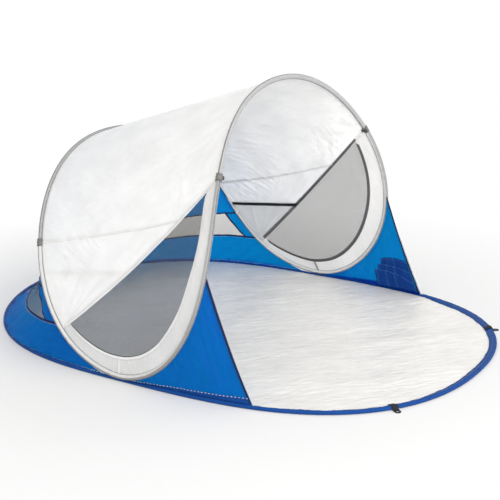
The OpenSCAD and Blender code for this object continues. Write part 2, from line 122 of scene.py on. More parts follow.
FRONT_HANDLES = [
    (FOOT_X, 0, FOOT_Z),
    (FOOT_X, -1.29 * FRONT_LEAN, FOOT_Z),
    (1.054 * HALF_W, -2.335 * FRONT_LEAN, 0.442 * FRONT_H),
    (0.878 * HALF_W, -1.228 * FRONT_LEAN, 0.751 * FRONT_H),
    (0.547 * HALF_W, -FRONT_LEAN, FRONT_H),
    (0, -FRONT_LEAN, FRONT_H),
]
REAR_HANDLES = [
    (FOOT_X, 0, FOOT_Z),
    (FOOT_X, 0.202 * REAR_LEAN, FOOT_Z),
    (0.911 * HALF_W, 0.852 * REAR_LEAN, 0.122 * REAR_H),
    (0.941 * HALF_W, 0.659 * REAR_LEAN, 0.5315 * REAR_H),
    (0.7375 * HALF_W, REAR_LEAN, REAR_H),
    (0, REAR_LEAN, REAR_H),
]


def front_leg(t):
    """Right half of the front arch, from the foot to the crown."""
    return bezier(FRONT_HANDLES, t) + [0, FOOT_Y, 0]


def rear_leg(t):
    """Right half of the rear arch, from the foot to the crown."""
    return bezier(REAR_HANDLES, t) + [0, FOOT_Y, 0]


def arch(leg, start, n):
    """A whole arch from left to right, between two points that are start along the legs."""
    c = spaced(-1, 1, n)
    p = leg(1 - (1 - start) * np.abs(c))
    p[:, 0] *= np.where(c < 0, -1, 1)
    return p


def powered(v, p):
    return np.sign(v) * np.abs(v) ** p


def outline(a, inset=0.0):
    """Floor outline at an angle in degrees: 0 at the right foot, 90 at the rear, 270 at the front."""
    a = np.asarray(a, float)

    def raw(a):
        s, c = np.sin(np.radians(a)), np.cos(np.radians(a))
        x = HALF_W * powered(c, np.where(s < 0, FRONT_POWERS[0], REAR_POWERS[0]))
        power = np.where(s < 0, FRONT_POWERS[1], REAR_POWERS[1])
        y = np.where(s < 0, FRONT_REACH, REAR_REACH) * powered(s, power)
        return np.stack([x, FOOT_Y + y], axis=-1)

    d = raw(a + 0.5) - raw(a - 0.5)
    inward = -unit(np.stack([d[..., 1], -d[..., 0]], axis=-1))
    return raw(a) + np.asarray(inset)[..., None] * inward


def canopy_edge(v):
    """Lower edge of the canopy, from the low rear corner to the front clip."""
    v = np.asarray(v, float)[..., None]
    chord = mix(rear_leg(REAR_CORNER), front_leg(FRONT_CLIP), v)
    return chord - 4 * v * (1 - v) * [EDGE_DRAW, 0, EDGE_SAG]


def canopy_point(a, b):
    """a runs from the lower edge to the crown, b from the rear arch to the front arch."""
    a, b = np.broadcast_arrays(a, b)
    rear, front = rear_leg(mix(REAR_CORNER, 1, a)), front_leg(mix(FRONT_CLIP, 1, a))
    drawn = (4 * b * (1 - b) * (1 - a) ** 3)[..., None] * [EDGE_DRAW, 0, EDGE_SAG]
    return mix(rear, front, b[..., None]) - drawn


def seam_at(b):
    """Share of the girth at which the side seam lies."""
    high = (REAR_CLIP - REAR_CORNER) / (1 - REAR_CORNER)
    share = np.clip(np.asarray(b, float) / SEAM_SHARE, 0, 1)
    return high * (1 - share) + 4 * SEAM_BOW * share * (1 - share)


def hoop_point(v):
    """The right side of the hoop, from the low rear corner past the foot to the front clip."""
    v = np.asarray(v, float)
    rear = rear_leg(REAR_CORNER * (1 - np.minimum(v, FOOT_SHARE) / FOOT_SHARE))
    front = front_leg(FRONT_CLIP * (np.maximum(v, FOOT_SHARE) - FOOT_SHARE) / (1 - FOOT_SHARE))
    return np.where((v < FOOT_SHARE)[..., None], rear, front)


def side_span(v):
    return np.linalg.norm(canopy_edge(v) - hoop_point(v), axis=-1)


def side_point(v, d):
    """A point of a side window, d from the hoop towards the canopy's lower edge."""
    return hoop_point(v) + np.asarray(d)[..., None] * unit(canopy_edge(v) - hoop_point(v))


def wall_point(u, a):
    """Rear wall: level curves at u along the rear leg, with a from 0 on the right to 180."""
    u, a = np.broadcast_arrays(np.asarray(u, float), np.asarray(a, float))
    p = rear_leg(u)
    bulge = REAR_REACH * (1 - u**1.5) ** 3.5
    across = powered(np.cos(np.radians(a)), mix(REAR_POWERS[0], 1, np.minimum(1, u / 0.35)))
    back = powered(np.sin(np.radians(a)), mix(REAR_POWERS[1], 2, np.minimum(1, u / 0.6) ** 3))
    drop = (rear_leg(WALL_START)[2] - RING_H - 0.0013) * ((1 - u) / (1 - WALL_START)) ** 8
    return points(p[..., 0] * across, p[..., 1] + bulge * back, p[..., 2] - drop)


WALL_SPREAD = 1.35


def wall_angle(s):
    """Angles that lie closer together near the legs."""
    return np.where(s < 0.5, 90 * (2 * s) ** WALL_SPREAD, 180 - 90 * (2 - 2 * s) ** WALL_SPREAD)


def strip_angle(u):
    """Angle on the level curve u at which the window ends, STRIP_W from the leg."""
    a = spaced(4, 40, 144)
    away = np.linalg.norm(wall_point(u, a) - wall_point(u, 0), axis=-1)
    return a[np.argmax(away > STRIP_W)]


def gusset_point(s, k):
    """s runs from the foot to the free edge, k from the leg down to the floor hoop."""
    s, k = np.broadcast_arrays(np.asarray(s, float), np.asarray(k, float))
    foot = outline(360 - GUSSET_REACH * s**1.5, RING_W / 2)
    low = points(foot[..., 0], foot[..., 1], RING_H + 0.0003)
    drawn = points(0, 4 * GUSSET_DRAW * k * (1 - k) * s**2, 0)
    return mix(front_leg(GUSSET_TOP * s), low, k[..., None]) + drawn


def pocket_point(s, k):
    """Corner pocket: s from the low rear corner to the top, k from the rear leg to the front."""
    s, k = np.broadcast_arrays(np.asarray(s, float), np.asarray(k, float))
    p = mix(rear_leg(mix(REAR_CORNER, POCKET_TOP, s)), canopy_edge(POCKET_REACH * s), k[..., None])
    sag = 4 * POCKET_SAG * k * (1 - k) * s * (1.2 - s)
    return p - points(mix(0.003, 0.0053, s**2) + sag, 0, 0)


# ---------------------------------------------------------------- wrinkles

NOISE_SIZE = 64


def noise(x, y, seed):
    """Smooth gradient noise from about -1 to 1, the same each run."""
    turn = np.random.default_rng(seed).uniform(0, 2 * math.pi, (NOISE_SIZE, NOISE_SIZE))
    x, y = np.broadcast_arrays(np.asarray(x, float), np.asarray(y, float))
    i, j = np.floor(x).astype(int), np.floor(y).astype(int)
    fx, fy = x - i, y - j

    def corner(di, dj):
        g = turn[(i + di) % NOISE_SIZE, (j + dj) % NOISE_SIZE]
        return np.cos(g) * (fx - di) + np.sin(g) * (fy - dj)

    wx, wy = (f * f * f * (f * (f * 6 - 15) + 10) for f in (fx, fy))
    low, high = mix(corner(0, 0), corner(1, 0), wx), mix(corner(0, 1), corner(1, 1), wx)
    return 1.6 * mix(low, high, wy)


def folds(along, across, length, spacing, seed):
    """Long soft folds: length is how long one is, spacing how far apart they lie."""
    sway = 0.6 * spacing * noise(along / length, across / (4 * spacing), seed + 1)
    return noise(along / length, (across + sway) / spacing, seed)


def creases(along, across, length, spacing, seed):
    """Sharper creases, with a ridge where the folds cross zero."""
    return 0.6 - 2.2 * np.minimum(np.abs(folds(along, across, length, spacing, seed)), 0.45)


def fan(x, y, reach, rays, seed):
    """Wrinkles that radiate from the origin and die out at reach."""
    r = np.hypot(x, y)
    turn = np.arctan2(y, x)
    fade = np.exp(-((r / reach) ** 1.5)) * np.clip(r / (0.12 * reach), 0, 1)
    return fade * noise(turn * rays, 2 * r / reach, seed)


def near_edge(d, reach):
    """1 at an edge, falling to 0 over about reach."""
    return np.exp(-np.maximum(d, 0) / reach)


# ---------------------------------------------------------------- meshes


def normals_of(grid):
    """Unit normals of a grid of points, all on its outer side, and whether they were turned."""
    n = unit(np.cross(np.gradient(grid, axis=0), np.gradient(grid, axis=1)))
    turned = np.sum(n * (grid - MIDDLE)) < 0
    return (-n if turned else n), turned


def raised(grid, height):
    """The grid moved outwards along its normals."""
    return grid + normals_of(grid)[0] * np.broadcast_to(height, grid.shape[:2])[..., None]


def lengths(grid, axis):
    """Distance along one axis of a grid, from its first row."""
    steps = np.linalg.norm(np.diff(grid, axis=axis), axis=-1)
    start = np.zeros_like(np.take(steps, [0], axis=axis))
    return np.cumsum(np.concatenate([start, steps], axis=axis), axis=axis)


def run_of(path):
    """Distance along a path, from its first point."""
    return np.concatenate([[0], np.cumsum(np.linalg.norm(np.diff(path, axis=0), axis=-1))])


def add_piece(name, co, faces, material, replaces=(), cloth_co=None, flat_faces=()):
    """A mesh object that rides on the part. cloth_co is each point's place on the cloth."""
    mesh = bpy.data.meshes.new(name)
    mesh.from_pydata(np.asarray(co).tolist(), [], [list(f) for f in faces])
    smooth = np.ones(len(mesh.polygons), bool)
    smooth[list(flat_faces)] = False
    mesh.polygons.foreach_set("use_smooth", smooth)
    if cloth_co is not None:
        held = mesh.attributes.new("cloth", "FLOAT_VECTOR", "POINT")
        held.data.foreach_set("vector", np.asarray(cloth_co, np.float32).ravel())
    mesh.materials.append(material)
    mesh.validate()
    piece = bpy.data.objects.new(name, mesh)
    bpy.context.scene.collection.objects.link(piece)
    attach(piece, "root")
    if replaces:
        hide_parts(*replaces)
    return piece


def add_sheet(name, grid, material, replaces=(), thickness=CLOTH_T):
    """A closed thin sheet around a grid of points."""
    rows, cols = grid.shape[:2]
    n, turned_over = normals_of(grid)
    count = rows * cols
    upper_co, lower_co = grid + n * thickness / 2, grid - n * thickness / 2
    co = np.concatenate([upper_co.reshape(-1, 3), lower_co.reshape(-1, 3)])
    index = np.arange(count).reshape(rows, cols)
    upper = np.stack([index[:-1, :-1], index[1:, :-1], index[1:, 1:], index[:-1, 1:]], -1).reshape(-1, 4)
    edge = np.concatenate([index[0, :-1], index[:-1, -1], index[-1, :0:-1], index[:0:-1, 0]])
    after = np.roll(edge, -1)
    rim = np.stack([edge, after, after + count, edge + count], -1)
    faces = np.concatenate([upper, upper[:, ::-1] + count, rim])
    if turned_over:
        faces = faces[:, ::-1]
    place = points(lengths(grid, 0), lengths(grid, 1), 0).reshape(-1, 3)
    flat, both = range(len(faces) - len(rim), len(faces)), np.concatenate([place, place])
    return add_piece(name, co, faces.tolist(), material, replaces, both, flat)


def add_cloth(
    node, grid, flat, material, thickness=CLOTH_T
):
    """A sheet that replaces a CAD node. flat is not used."""
    piece = add_sheet(f"{node}.cloth", grid, material, [node], thickness)


def line_at(grid, share, face, lift=0.0):
    """The line at a share of the way across a sheet, on its outer (1) or inner (-1) face."""
    n = normals_of(grid)[0]
    at = share * (grid.shape[1] - 1)
    j = min(int(at), grid.shape[1] - 2)
    path, normals = (mix(g[:, j], g[:, j + 1], at - j) for g in (grid, n))
    return path + face * (CLOTH_T / 2 + lift) * normals, face * normals


def turned(grid):
    """The grid with its rows as columns."""
    return np.swapaxes(grid, 0, 1)


def both_sides(build):
    """Builds a piece for the right side and mirrored for the left, with a seed for each."""
    build("right", RIGHT_SIDE, 0)
    build("left", LEFT_SIDE, 100)


def across_path(path, towards):
    """Unit directions across a path: towards some points, and square to that."""
    way = unit(np.gradient(path, axis=0))
    side = towards - path
    side = unit(side - np.sum(side * way, axis=-1, keepdims=True) * way)
    return side, np.cross(way, side)


def add_swept(name, grid, place, material, replaces):
    """A closed outline swept along a path, given as a grid of (path, points, 3)."""
    n, k = grid.shape[:2]
    index = np.arange(n * k).reshape(n, k)
    across = np.roll(index, -1, axis=1)
    faces = np.stack([index[:-1], index[1:], across[1:], across[:-1]], -1).reshape(-1, 4).tolist()
    faces += [index[0].tolist(), index[-1, ::-1].tolist()]
    co = grid.reshape(-1, 3)
    ends = (len(faces) - 2, len(faces) - 1)
    add_piece(name, co, facing_out(co, faces), material, replaces, place.reshape(-1, 3), ends)


def add_tube(name, path, towards, section, material, replaces=()):
    """An outline swept along a path. section is (points, 2) or (path, points, 2)."""
    side, up = across_path(path, towards)
    section = np.broadcast_to(section, (len(path),) + np.shape(section)[-2:])
    grid = path[:, None] + section[..., :1] * side[:, None] + section[..., 1:] * up[:, None]
    place = points(run_of(path)[:, None], lengths(section, 1), 0)
    add_swept(name, grid, place, material, replaces)


def signed_volume(co, faces):
    """Six times the volume inside the faces, negative if they face inwards."""
    total = 0.0
    for f in faces:
        fans = co[[f[0]] * (len(f) - 2)], co[f[1:-1]], co[f[2:]]
        total += float(np.sum(fans[0] * np.cross(fans[1], fans[2])))
    return total


def facing_out(co, faces):
    return [f[::-1] for f in faces] if signed_volume(co, faces) < 0 else faces


def oval(width, height, n=10, power=1.0):
    """A closed oval outline, squarer at a power under 1."""
    a = turns(n)
    return np.stack([width / 2 * powered(np.cos(a), power), height / 2 * powered(np.sin(a), power)], -1)


# The pitch, the length and the thread's radius of each kind of stitch.
FINE_STITCH = (0.0042, 0.0030, 0.0004)
WALL_STITCH = (0.0062, 0.0040, 0.00045)
HEM_STITCH = (0.0130, 0.0080, 0.0010)
RING_STITCH = (0.0105, 0.0065, 0.0006)
POCKET_STITCH = (0.0060, 0.0044, 0.0006)
WEB_STITCH = (0.0040, 0.0028, 0.0005)
STITCH_SIDES = 6


def stitch_shape(long, radius):
    """Points and faces of one stitch: a thread whose two ends dip into the cloth."""
    n = STITCH_SIDES
    a = turns(n)
    ring = np.stack([np.zeros(n), radius * np.cos(a), radius * np.sin(a)], -1)
    tips = [[(-long / 2, 0, -radius)], [(long / 2, 0, -radius)]]
    bend = 0.32 * long
    shape = np.concatenate([tips[0], ring + [-bend, 0, 0], ring + [bend, 0, 0], tips[1]])
    faces = []
    for i in range(n):
        j = (i + 1) % n
        near, far = 1 + i, 1 + n + i
        next_near, next_far = 1 + j, 1 + n + j
        faces += [(0, next_near, near), (near, next_near, next_far, far), (far, next_far, 1 + 2 * n)]
    return shape, faces


def sampled(values, run, at):
    """Rows of values at some distances along their run."""
    return np.stack([np.interp(at, run, values[:, i]) for i in range(3)], -1)


def add_stitches(name, runs, stitch, material):
    """Small threads laid end to end along runs, each a path with the normals it lies on."""
    pitch, long, radius = stitch
    shape, stitch_faces = stitch_shape(long, radius)
    co, faces = [], []
    for path, normals in runs:
        run = run_of(path)
        at = np.arange(pitch / 2, run[-1], pitch)
        n = unit(sampled(normals, run, at))
        way = unit(sampled(path, run, at + pitch / 2) - sampled(path, run, at - pitch / 2))
        side = unit(np.cross(n, way))
        rows = sampled(path, run, at)[:, None] + shape[:, 0, None] * way[:, None]
        rows = rows + shape[:, 1, None] * side[:, None] + shape[:, 2, None] * n[:, None]
        for row in rows:
            start = len(co)
            co.extend(row.tolist())
            faces += [tuple(start + v for v in f) for f in stitch_faces]
    add_piece(name, np.array(co), faces, material)


# ---------------------------------------------------------------- materials


class Shader:
    """Builds one material's nodes."""

    def __init__(self, name):
        self.material = bpy.data.materials.new(name)
        self.material.use_nodes = True
        self.tree = self.material.node_tree
        self.tree.nodes.clear()
        self.out = self.tree.nodes.new("ShaderNodeOutputMaterial")

    def node(self, kind, inputs=None, **settings):
        made = self.tree.nodes.new("ShaderNode" + kind)
        for key, value in settings.items():
            setattr(made, key, value)
        for key, value in (inputs or {}).items():
            self.put(value, made.inputs[key])
        return made

    def put(self, value, socket):
        if isinstance(value, bpy.types.NodeSocket):
            self.tree.links.new(value, socket)
        else:
            socket.default_value = value

    def maths(self, operation, a, b=0.0):
        return self.node("Math", {0: a, 1: b}, operation=operation).outputs[0]

    def place(self, scale=(1, 1, 1)):
        """The place on the cloth, in metres, stretched by scale."""
        held = self.node("Attribute", attribute_name="cloth").outputs["Vector"]
        return self.node("Mapping", {"Vector": held, "Scale": scale}).outputs[0]

    def grain(self, vector, scale, detail=3.0, rough=0.55):
        inputs = {"Vector": vector, "Scale": scale, "Detail": detail, "Roughness": rough}
        return self.node("TexNoise", inputs).outputs["Fac"]

    def ramp(self, value, low, high, to_low=0.0, to_high=1.0):
        inputs = {"Value": value, 1: low, 2: high, 3: to_low, 4: to_high}
        return self.node("MapRange", inputs).outputs[0]

    def tint(self, value, dark, light, kind="MIX"):
        """A colour between dark and light, each a colour or another node's output."""
        made = self.node("Mix", data_type="RGBA", blend_type=kind)
        self.put(value, made.inputs[0])
        for colour, socket in ((dark, made.inputs[6]), (light, made.inputs[7])):
            self.put((*colour, 1) if isinstance(colour, tuple) else colour, socket)
        return made.outputs[2]

    def principled(self, colour, rough, normal, more=None):
        """A surface's shader. more gives its other inputs."""
        inputs = {"Base Color": colour, "Roughness": rough, "Normal": normal, **(more or {})}
        return self.node("BsdfPrincipled", inputs).outputs[0]

    def bump(self, height, distance, strength=1.0, under=None):
        inputs = {"Height": height, "Distance": distance, "Strength": strength}
        if under is not None:
            inputs["Normal"] = under
        return self.node("Bump", inputs).outputs[0]

    def shade(self, shader):
        self.tree.links.new(shader, self.out.inputs["Surface"])
        return self.material


def scaled(colour, by):
    return tuple(min(1.0, c * by) for c in colour)


WEAVE_PITCH = 0.0011


def weave_height(shader):
    """Height of a plain weave: threads that pass over and under each other."""
    place = shader.node("SeparateXYZ", {0: shader.place()})
    turn = 2 * math.pi / WEAVE_PITCH
    warp = shader.maths("SINE", shader.maths("MULTIPLY", place.outputs[0], turn))
    weft = shader.maths("SINE", shader.maths("MULTIPLY", place.outputs[1], turn))
    return shader.maths("MULTIPLY", warp, weft)


def cloth_material(
    name, colour, through, shines=0.3, rough=0.62, crumple=0.0004, coarse=60.0, sheen=0.15, share=0.6
):
    """Thin woven cloth. through is the colour of the share of light that comes through it, or None."""
    s = Shader(name)
    mottle = s.ramp(s.grain(s.place(), 9.0), 0.3, 0.7)
    weave = weave_height(s)
    crinkle = s.grain(s.place((1.0, 0.55, 1.0)), coarse, 5.0, 0.6)
    normal = s.bump(weave, 0.00006, 0.6, s.bump(crinkle, crumple * 10))
    base = s.tint(mottle, scaled(colour, 0.95), scaled(colour, 1.03))
    uneven = s.ramp(crinkle, 0.3, 0.7, rough - 0.06, rough + 0.06)
    surface = s.principled(base, uneven, normal, {"Specular IOR Level": shines, "Sheen Weight": sheen})
    if through is None:
        return s.shade(surface)
    passed = s.tint(mottle, scaled(through, 0.95), through)
    glow = s.node("BsdfTranslucent", {"Color": passed, "Normal": normal})
    both = s.node("MixShader", {0: share, 1: surface, 2: glow.outputs[0]})
    return s.shade(both.outputs[0])


CREASE_WAY = math.radians(-36)


def silver_material(name, colour):
    """Coated floor sheet: a soft silvery shine with fine slanting creases. Its colour is darker and
    lighter along the crease streaks, which is painted shade of the creases, and has a broad uneven tone.
    """
    s = Shader(name)
    place = s.node("TexCoord").outputs["Object"]
    stretch = {"Vector": place, "Rotation": (0, 0, CREASE_WAY), "Scale": (4.5, 1, 1)}
    turned_place = s.node("Mapping", stretch, vector_type="TEXTURE")
    streak = s.grain(turned_place.outputs[0], 70.0, 5.0, 0.6)
    broad = s.grain(place, 6.0)
    # The crease streaks in the colour are painted shade; the broad noise is uneven tone.
    tone = s.maths("ADD", s.maths("MULTIPLY", streak, 0.55), s.maths("MULTIPLY", broad, 0.45))
    normal = s.bump(weave_height(s), 0.00005, 0.5, s.bump(streak, 0.0035))
    base = s.tint(s.ramp(tone, 0.35, 0.65), scaled(colour, 0.90), scaled(colour, 1.06))
    return s.shade(s.principled(base, s.ramp(streak, 0.3, 0.7, 0.36, 0.5), normal, {"Metallic": 0.15}))


LOW_RUN = 0.62  # how far along the side sleeves the foot is


def sleeve_material(name, inner, outer, low, around):
    """Cloth of a sleeve: one colour on its inner half, another outside, and a third, darker, low down near
    the foot, which is painted shade.
    """
    s = Shader(name)
    place = s.node("SeparateXYZ", {0: s.place()})
    share = s.maths("DIVIDE", place.outputs[1], around)
    away = s.maths("ABSOLUTE", s.maths("SUBTRACT", share, 0.5))
    half = s.ramp(away, 0.20, 0.24)
    from_foot = s.maths("ABSOLUTE", s.maths("SUBTRACT", place.outputs[0], LOW_RUN))
    # Painted shade: the low colour darkens the sleeve near the foot.
    lower = s.ramp(from_foot, 0.16, 0.30, 1.0, 0.0)
    halves = s.tint(half, s.tint(lower, outer, low), inner)
    crinkle = s.grain(s.place((1.0, 0.4, 1.0)), 110.0, 5.0, 0.6)
    # Darker in the crinkles' hollows and lighter on their ridges: painted shade.
    tone = s.ramp(crinkle, 0.3, 0.7, 0.9, 1.05)
    base = s.tint(1.0, halves, s.tint(tone, (0.9, 0.9, 0.9), (1, 1, 1)), "MULTIPLY")
    normal = s.bump(weave_height(s), 0.00006, 0.6, s.bump(crinkle, 0.004))
    return s.shade(s.principled(base, 0.55, normal, {"Specular IOR Level": 0.25}))


NET_PITCH = 0.0016
NET_CONTRAST = 0.45


def net_material(name, colour, open_share):
    """Fine netting: round threads with open holes between them."""
    s = Shader(name)
    place = s.node("SeparateXYZ", {0: s.place()})
    half = (1 - math.sqrt(open_share)) / 2
    gaps = []
    for axis in (0, 1):
        part = s.maths("FRACT", s.maths("DIVIDE", place.outputs[axis], NET_PITCH))
        gaps.append(s.maths("ABSOLUTE", s.maths("SUBTRACT", part, 0.5)))
    edge = s.maths("MAXIMUM", gaps[0], gaps[1])
    sharp = s.maths("GREATER_THAN", edge, 0.5 - half)
    even = 1 - open_share
    thread = s.ramp(sharp, 0, 1, even * (1 - NET_CONTRAST), even + NET_CONTRAST * open_share)
    mottle = s.ramp(s.grain(s.place(), 14.0), 0.3, 0.7)
    base = s.tint(mottle, scaled(colour, 0.9), scaled(colour, 1.1))
    surface = s.principled(base, 0.6, s.bump(edge, 0.0003), {"Specular IOR Level": 0.25})
    clear = s.node("BsdfTransparent")
    both = s.node("MixShader", {0: thread, 1: clear.outputs[0], 2: surface})
    return s.shade(both.outputs[0])


def tape_material(name, colour, rib=0.0012, rough=0.7):
    """Woven tape or webbing, with ribs across it, darker in the grooves between them as painted shade."""
    s = Shader(name)
    place = s.node("SeparateXYZ", {0: s.place()})
    turn = 2 * math.pi / rib
    ribs = s.maths("SINE", s.maths("MULTIPLY", place.outputs[0], turn))
    slant = s.maths("ADD", place.outputs[0], s.maths("MULTIPLY", place.outputs[1], 0.7))
    twill = s.maths("SINE", s.maths("MULTIPLY", slant, turn * 0.6))
    fuzz = s.grain(s.place(), 240.0)
    height = s.maths("ADD", s.maths("MULTIPLY", ribs, twill), fuzz)
    # Darker in the grooves and lighter on the ribs: painted shade.
    base = s.tint(s.ramp(height, -0.6, 1.6), scaled(colour, 0.75), scaled(colour, 1.25))
    return s.shade(s.principled(base, rough, s.bump(height, 0.0002), {"Specular IOR Level": 0.3}))


def thread_material(name, colour):
    """Sewing thread, with its twist, darker in its grooves as painted shade."""
    s = Shader(name)
    place = s.node("TexCoord").outputs["Object"]
    twist = s.grain(place, 900.0, 2.0)
    # Darker where the twist is low: painted shade.
    base = s.tint(twist, scaled(colour, 0.8), colour)
    return s.shade(s.principled(base, 0.55, s.bump(twist, 0.0002)))


def plastic_material(name, colour):
    """Moulded plastic with a fine matt grain."""
    s = Shader(name)
    place = s.node("TexCoord").outputs["Object"]
    grain = s.grain(place, 700.0, 2.0)
    tone = s.ramp(s.grain(place, 60.0), 0.3, 0.7)
    base = s.tint(tone, scaled(colour, 0.85), scaled(colour, 1.12))
    return s.shade(s.principled(base, s.ramp(grain, 0.3, 0.7, 0.38, 0.5), s.bump(grain, 0.0001)))


NYLON = {"shines": 0.15, "rough": 0.55, "sheen": 0.0}
WHITE = cloth_material(
    "white_polyester", (0.95, 0.946, 0.94), (1, 0.998, 0.99), shines=0.2, crumple=0.0003, share=0.46
)
BAND_WHITE = cloth_material(
    "band_polyester", (0.88, 0.876, 0.868), (0.92, 0.915, 0.908), shines=0.25, crumple=0.0003
)
SILVER = silver_material("silver_coated", (0.745, 0.732, 0.71))
BLUE = cloth_material(
    "blue_polyester", (0.0, 0.042, 0.38), (0.0, 0.72, 0.99), crumple=0.0005, coarse=50.0, **NYLON
)
RING_BLUE = cloth_material("blue_hem", (0.003, 0.050, 0.225), None, crumple=0.0006, coarse=90.0, **NYLON)
NAVY = cloth_material("navy_polyester", (0.0, 0.036, 0.20), None, coarse=70.0, **NYLON)
SLEEVE_GREY = cloth_material("grey_sleeve", (0.36, 0.36, 0.362), None, rough=0.55, coarse=110.0, sheen=0.0)
# The third colour of the side sleeves is painted shade near the foot.
SIDE_SLEEVE = sleeve_material(
    "side_sleeve", (0.57, 0.567, 0.56), (0.30, 0.30, 0.30), (0.26, 0.256, 0.248), around=0.053
)
SEAM_GREY = cloth_material("grey_seam", (0.84, 0.835, 0.83), (0.95, 0.95, 0.94), crumple=0.0002, share=0.2)
SIDE_NET = net_material("side_net", (0.062, 0.058, 0.05), 0.68)
POCKET_NET = net_material("pocket_net", (0.36, 0.36, 0.36), 0.88)
WINDOW_NET = net_material("window_net", (0.07, 0.068, 0.06), 0.78)
DARK_TAPE = tape_material("dark_binding", (0.085, 0.085, 0.09))
# Dark seam lines on the sleeves: painted shade at the sleeves' edges.
LIP_SHADE_GREY = tape_material("sleeve_edge_shade", (0.19, 0.19, 0.19))
GREY_TAPE = tape_material("grey_binding", (0.30, 0.30, 0.31))
NAVY_TAPE = tape_material("navy_binding", (0.004, 0.010, 0.055))
ELASTIC = tape_material("black_elastic", (0.012, 0.012, 0.013), rib=0.0022, rough=0.8)
WEBBING = tape_material("black_webbing", (0.012, 0.012, 0.015), rib=0.0024, rough=0.75)
PALE_THREAD = thread_material("pale_thread", (0.62, 0.66, 0.74))
BLUE_THREAD = thread_material("blue_thread", (0.10, 0.24, 0.60))
NAVY_THREAD = thread_material("navy_thread", (0.0, 0.03, 0.16))
WHITE_THREAD = thread_material("white_thread", (0.85, 0.85, 0.85))
GREY_THREAD = thread_material("grey_thread", (0.45, 0.45, 0.46))
CLIP_GREY = plastic_material("clip_plastic", (0.15, 0.148, 0.14))
LATCH_GREY = plastic_material("latch_plastic", (0.05, 0.05, 0.048))

# ---------------------------------------------------------------- floor and its hoop

FLOOR_STEP = 0.0085


def floor_height(x, y):
    """Creases of the coated floor sheet, which run slantwise across it."""
    along = x * math.cos(CREASE_WAY) + y * math.sin(CREASE_WAY)
    across = -x * math.sin(CREASE_WAY) + y * math.cos(CREASE_WAY)
    fine = creases(along, across, 0.16, 0.026, 11)
    small = creases(along + 0.3, across, 0.09, 0.017, 12)
    soft = folds(along, across, 0.5, 0.09, 13)
    patches = 0.5 + 0.5 * np.clip(1.5 * noise(x / 0.28, y / 0.28, 14) + 0.3, -1, 1)
    return 0.0030 + 0.0015 * fine * patches + 0.0007 * small + 0.0016 * soft


def build_floor():
    """The floor sheet inside the hoop, as rows across it that follow the outline."""
    inset = 0.014
    y = spaced(FRONT_Y + inset, REAR_Y - inset, round((REAR_Y - FRONT_Y) / FLOOR_STEP))[:, None]
    behind = y > FOOT_Y
    power_x, power_y = (np.where(behind, r, f) for f, r in zip(FRONT_POWERS, REAR_POWERS))
    reach = np.where(behind, REAR_REACH, FRONT_REACH) - 0.6 * inset
    sine = np.clip(np.abs(y - FOOT_Y) / reach, 0, 1) ** (1 / power_y)
    half = (HALF_W - inset) * np.sqrt(1 - sine**2) ** power_x
    x = half * spaced(-1, 1, round(2 * HALF_W / FLOOR_STEP))
    edge = near_edge(half - np.abs(x), 0.02)
    lowest = 0.0008
    z = np.maximum(floor_height(x, y), lowest) * (1 - 0.4 * edge) + lowest * edge
    grid = points(x, y, z)
    add_cloth("floor_sheet", grid, points(x, y, 0), SILVER)


RING_STEPS = 170
# The hoop's sleeve in section: the distance in from the outline, and the height.
RING_SECTION = np.array([
    (0.028, 0.0012), (0.020, 0.0008), (0.010, 0.0006), (0.0045, 0.0001), (0.0008, 0.0015),
    (0.0, 0.0050), (0.0006, 0.0092), (0.0035, 0.0122), (0.0080, 0.0124), (0.0125, 0.0104),
    (0.0170, 0.0082), (0.0215, 0.0066), (0.025, 0.0060), (0.028, 0.0050),
])
FLAP_START = 0.010
FREE_ANGLES = (202, 338)
FOOT_CLEAR = 0.0071


def flap_share(a):
    """1 where the floor hoop is free, less where a wall or a gusset stands on it."""
    free = np.clip(np.minimum(a - FREE_ANGLES[0], FREE_ANGLES[1] - a) / 4, 0, 1)
    return 0.30 + 0.70 * free


def under_foot(a):
    """1 below the feet of the canopy hoop, where the sleeve of the floor hoop is pressed flat."""
    return np.exp(-(((np.abs(np.mod(a + 90, 180) - 90)) / 3.0) ** 2))


QUARTERS = {
    "rear_right": (0, 90),
    "rear_left": (180, 90),
    "front_left": (180, 270),
    "front_right": (360, 270),
}


def quarter_angles(name, n):
    start, end = QUARTERS[name]
    return mix(start, end, spaced(0, 1, n) ** 1.5)


def ring_grid(name, section, n):
    """Points of the floor hoop's sleeve: inset from the outline and height, puckered by its seam."""
    a = quarter_angles(name, n)
    run = run_of(outline(a))[:, None]
    seed = 30 + 2 * list(QUARTERS).index(name)
    d, z = section[:, 0], section[:, 1]
    flap = np.clip((d - FLAP_START) / 0.018, 0, 1)
    ends = np.clip(np.minimum(run, run[-1] - run) / 0.02, 0, 1)
    wave = ends * (folds(run, 0 * d, 0.070, 0.02, seed) + 0.4 * noise(run / 0.015, 0.3, seed + 1))
    share = flap_share(a)[:, None]
    inset = np.minimum(d, FLAP_START) + np.maximum(d - FLAP_START, 0) * share
    inset = inset + 0.0034 * wave * flap**2 * share
    upper = z > 0.004
    pucker = ends * noise(run / 0.012, d / 0.03, seed + 1)
    height = z + 0.0012 * pucker * np.where(upper, 1, 0)
    pressed = mix(height, np.minimum(height, FOOT_CLEAR), under_foot(a)[:, None])
    height = np.where(upper, pressed, height)
    place = outline(a[:, None], inset)
    return points(place[..., 0], place[..., 1], np.maximum(height, 0.0001))


def build_ring(name):
    """The sleeve of one quarter of the floor hoop."""
    grid = ring_grid(name, RING_SECTION, RING_STEPS)
    place = points(lengths(grid, 0), lengths(grid, 1), 0)
    add_swept(f"ring_{name}.sleeve", grid, place, RING_BLUE, [f"ring_{name}"])


RING_SEAM = np.array([(0.0150, 0.0098)])


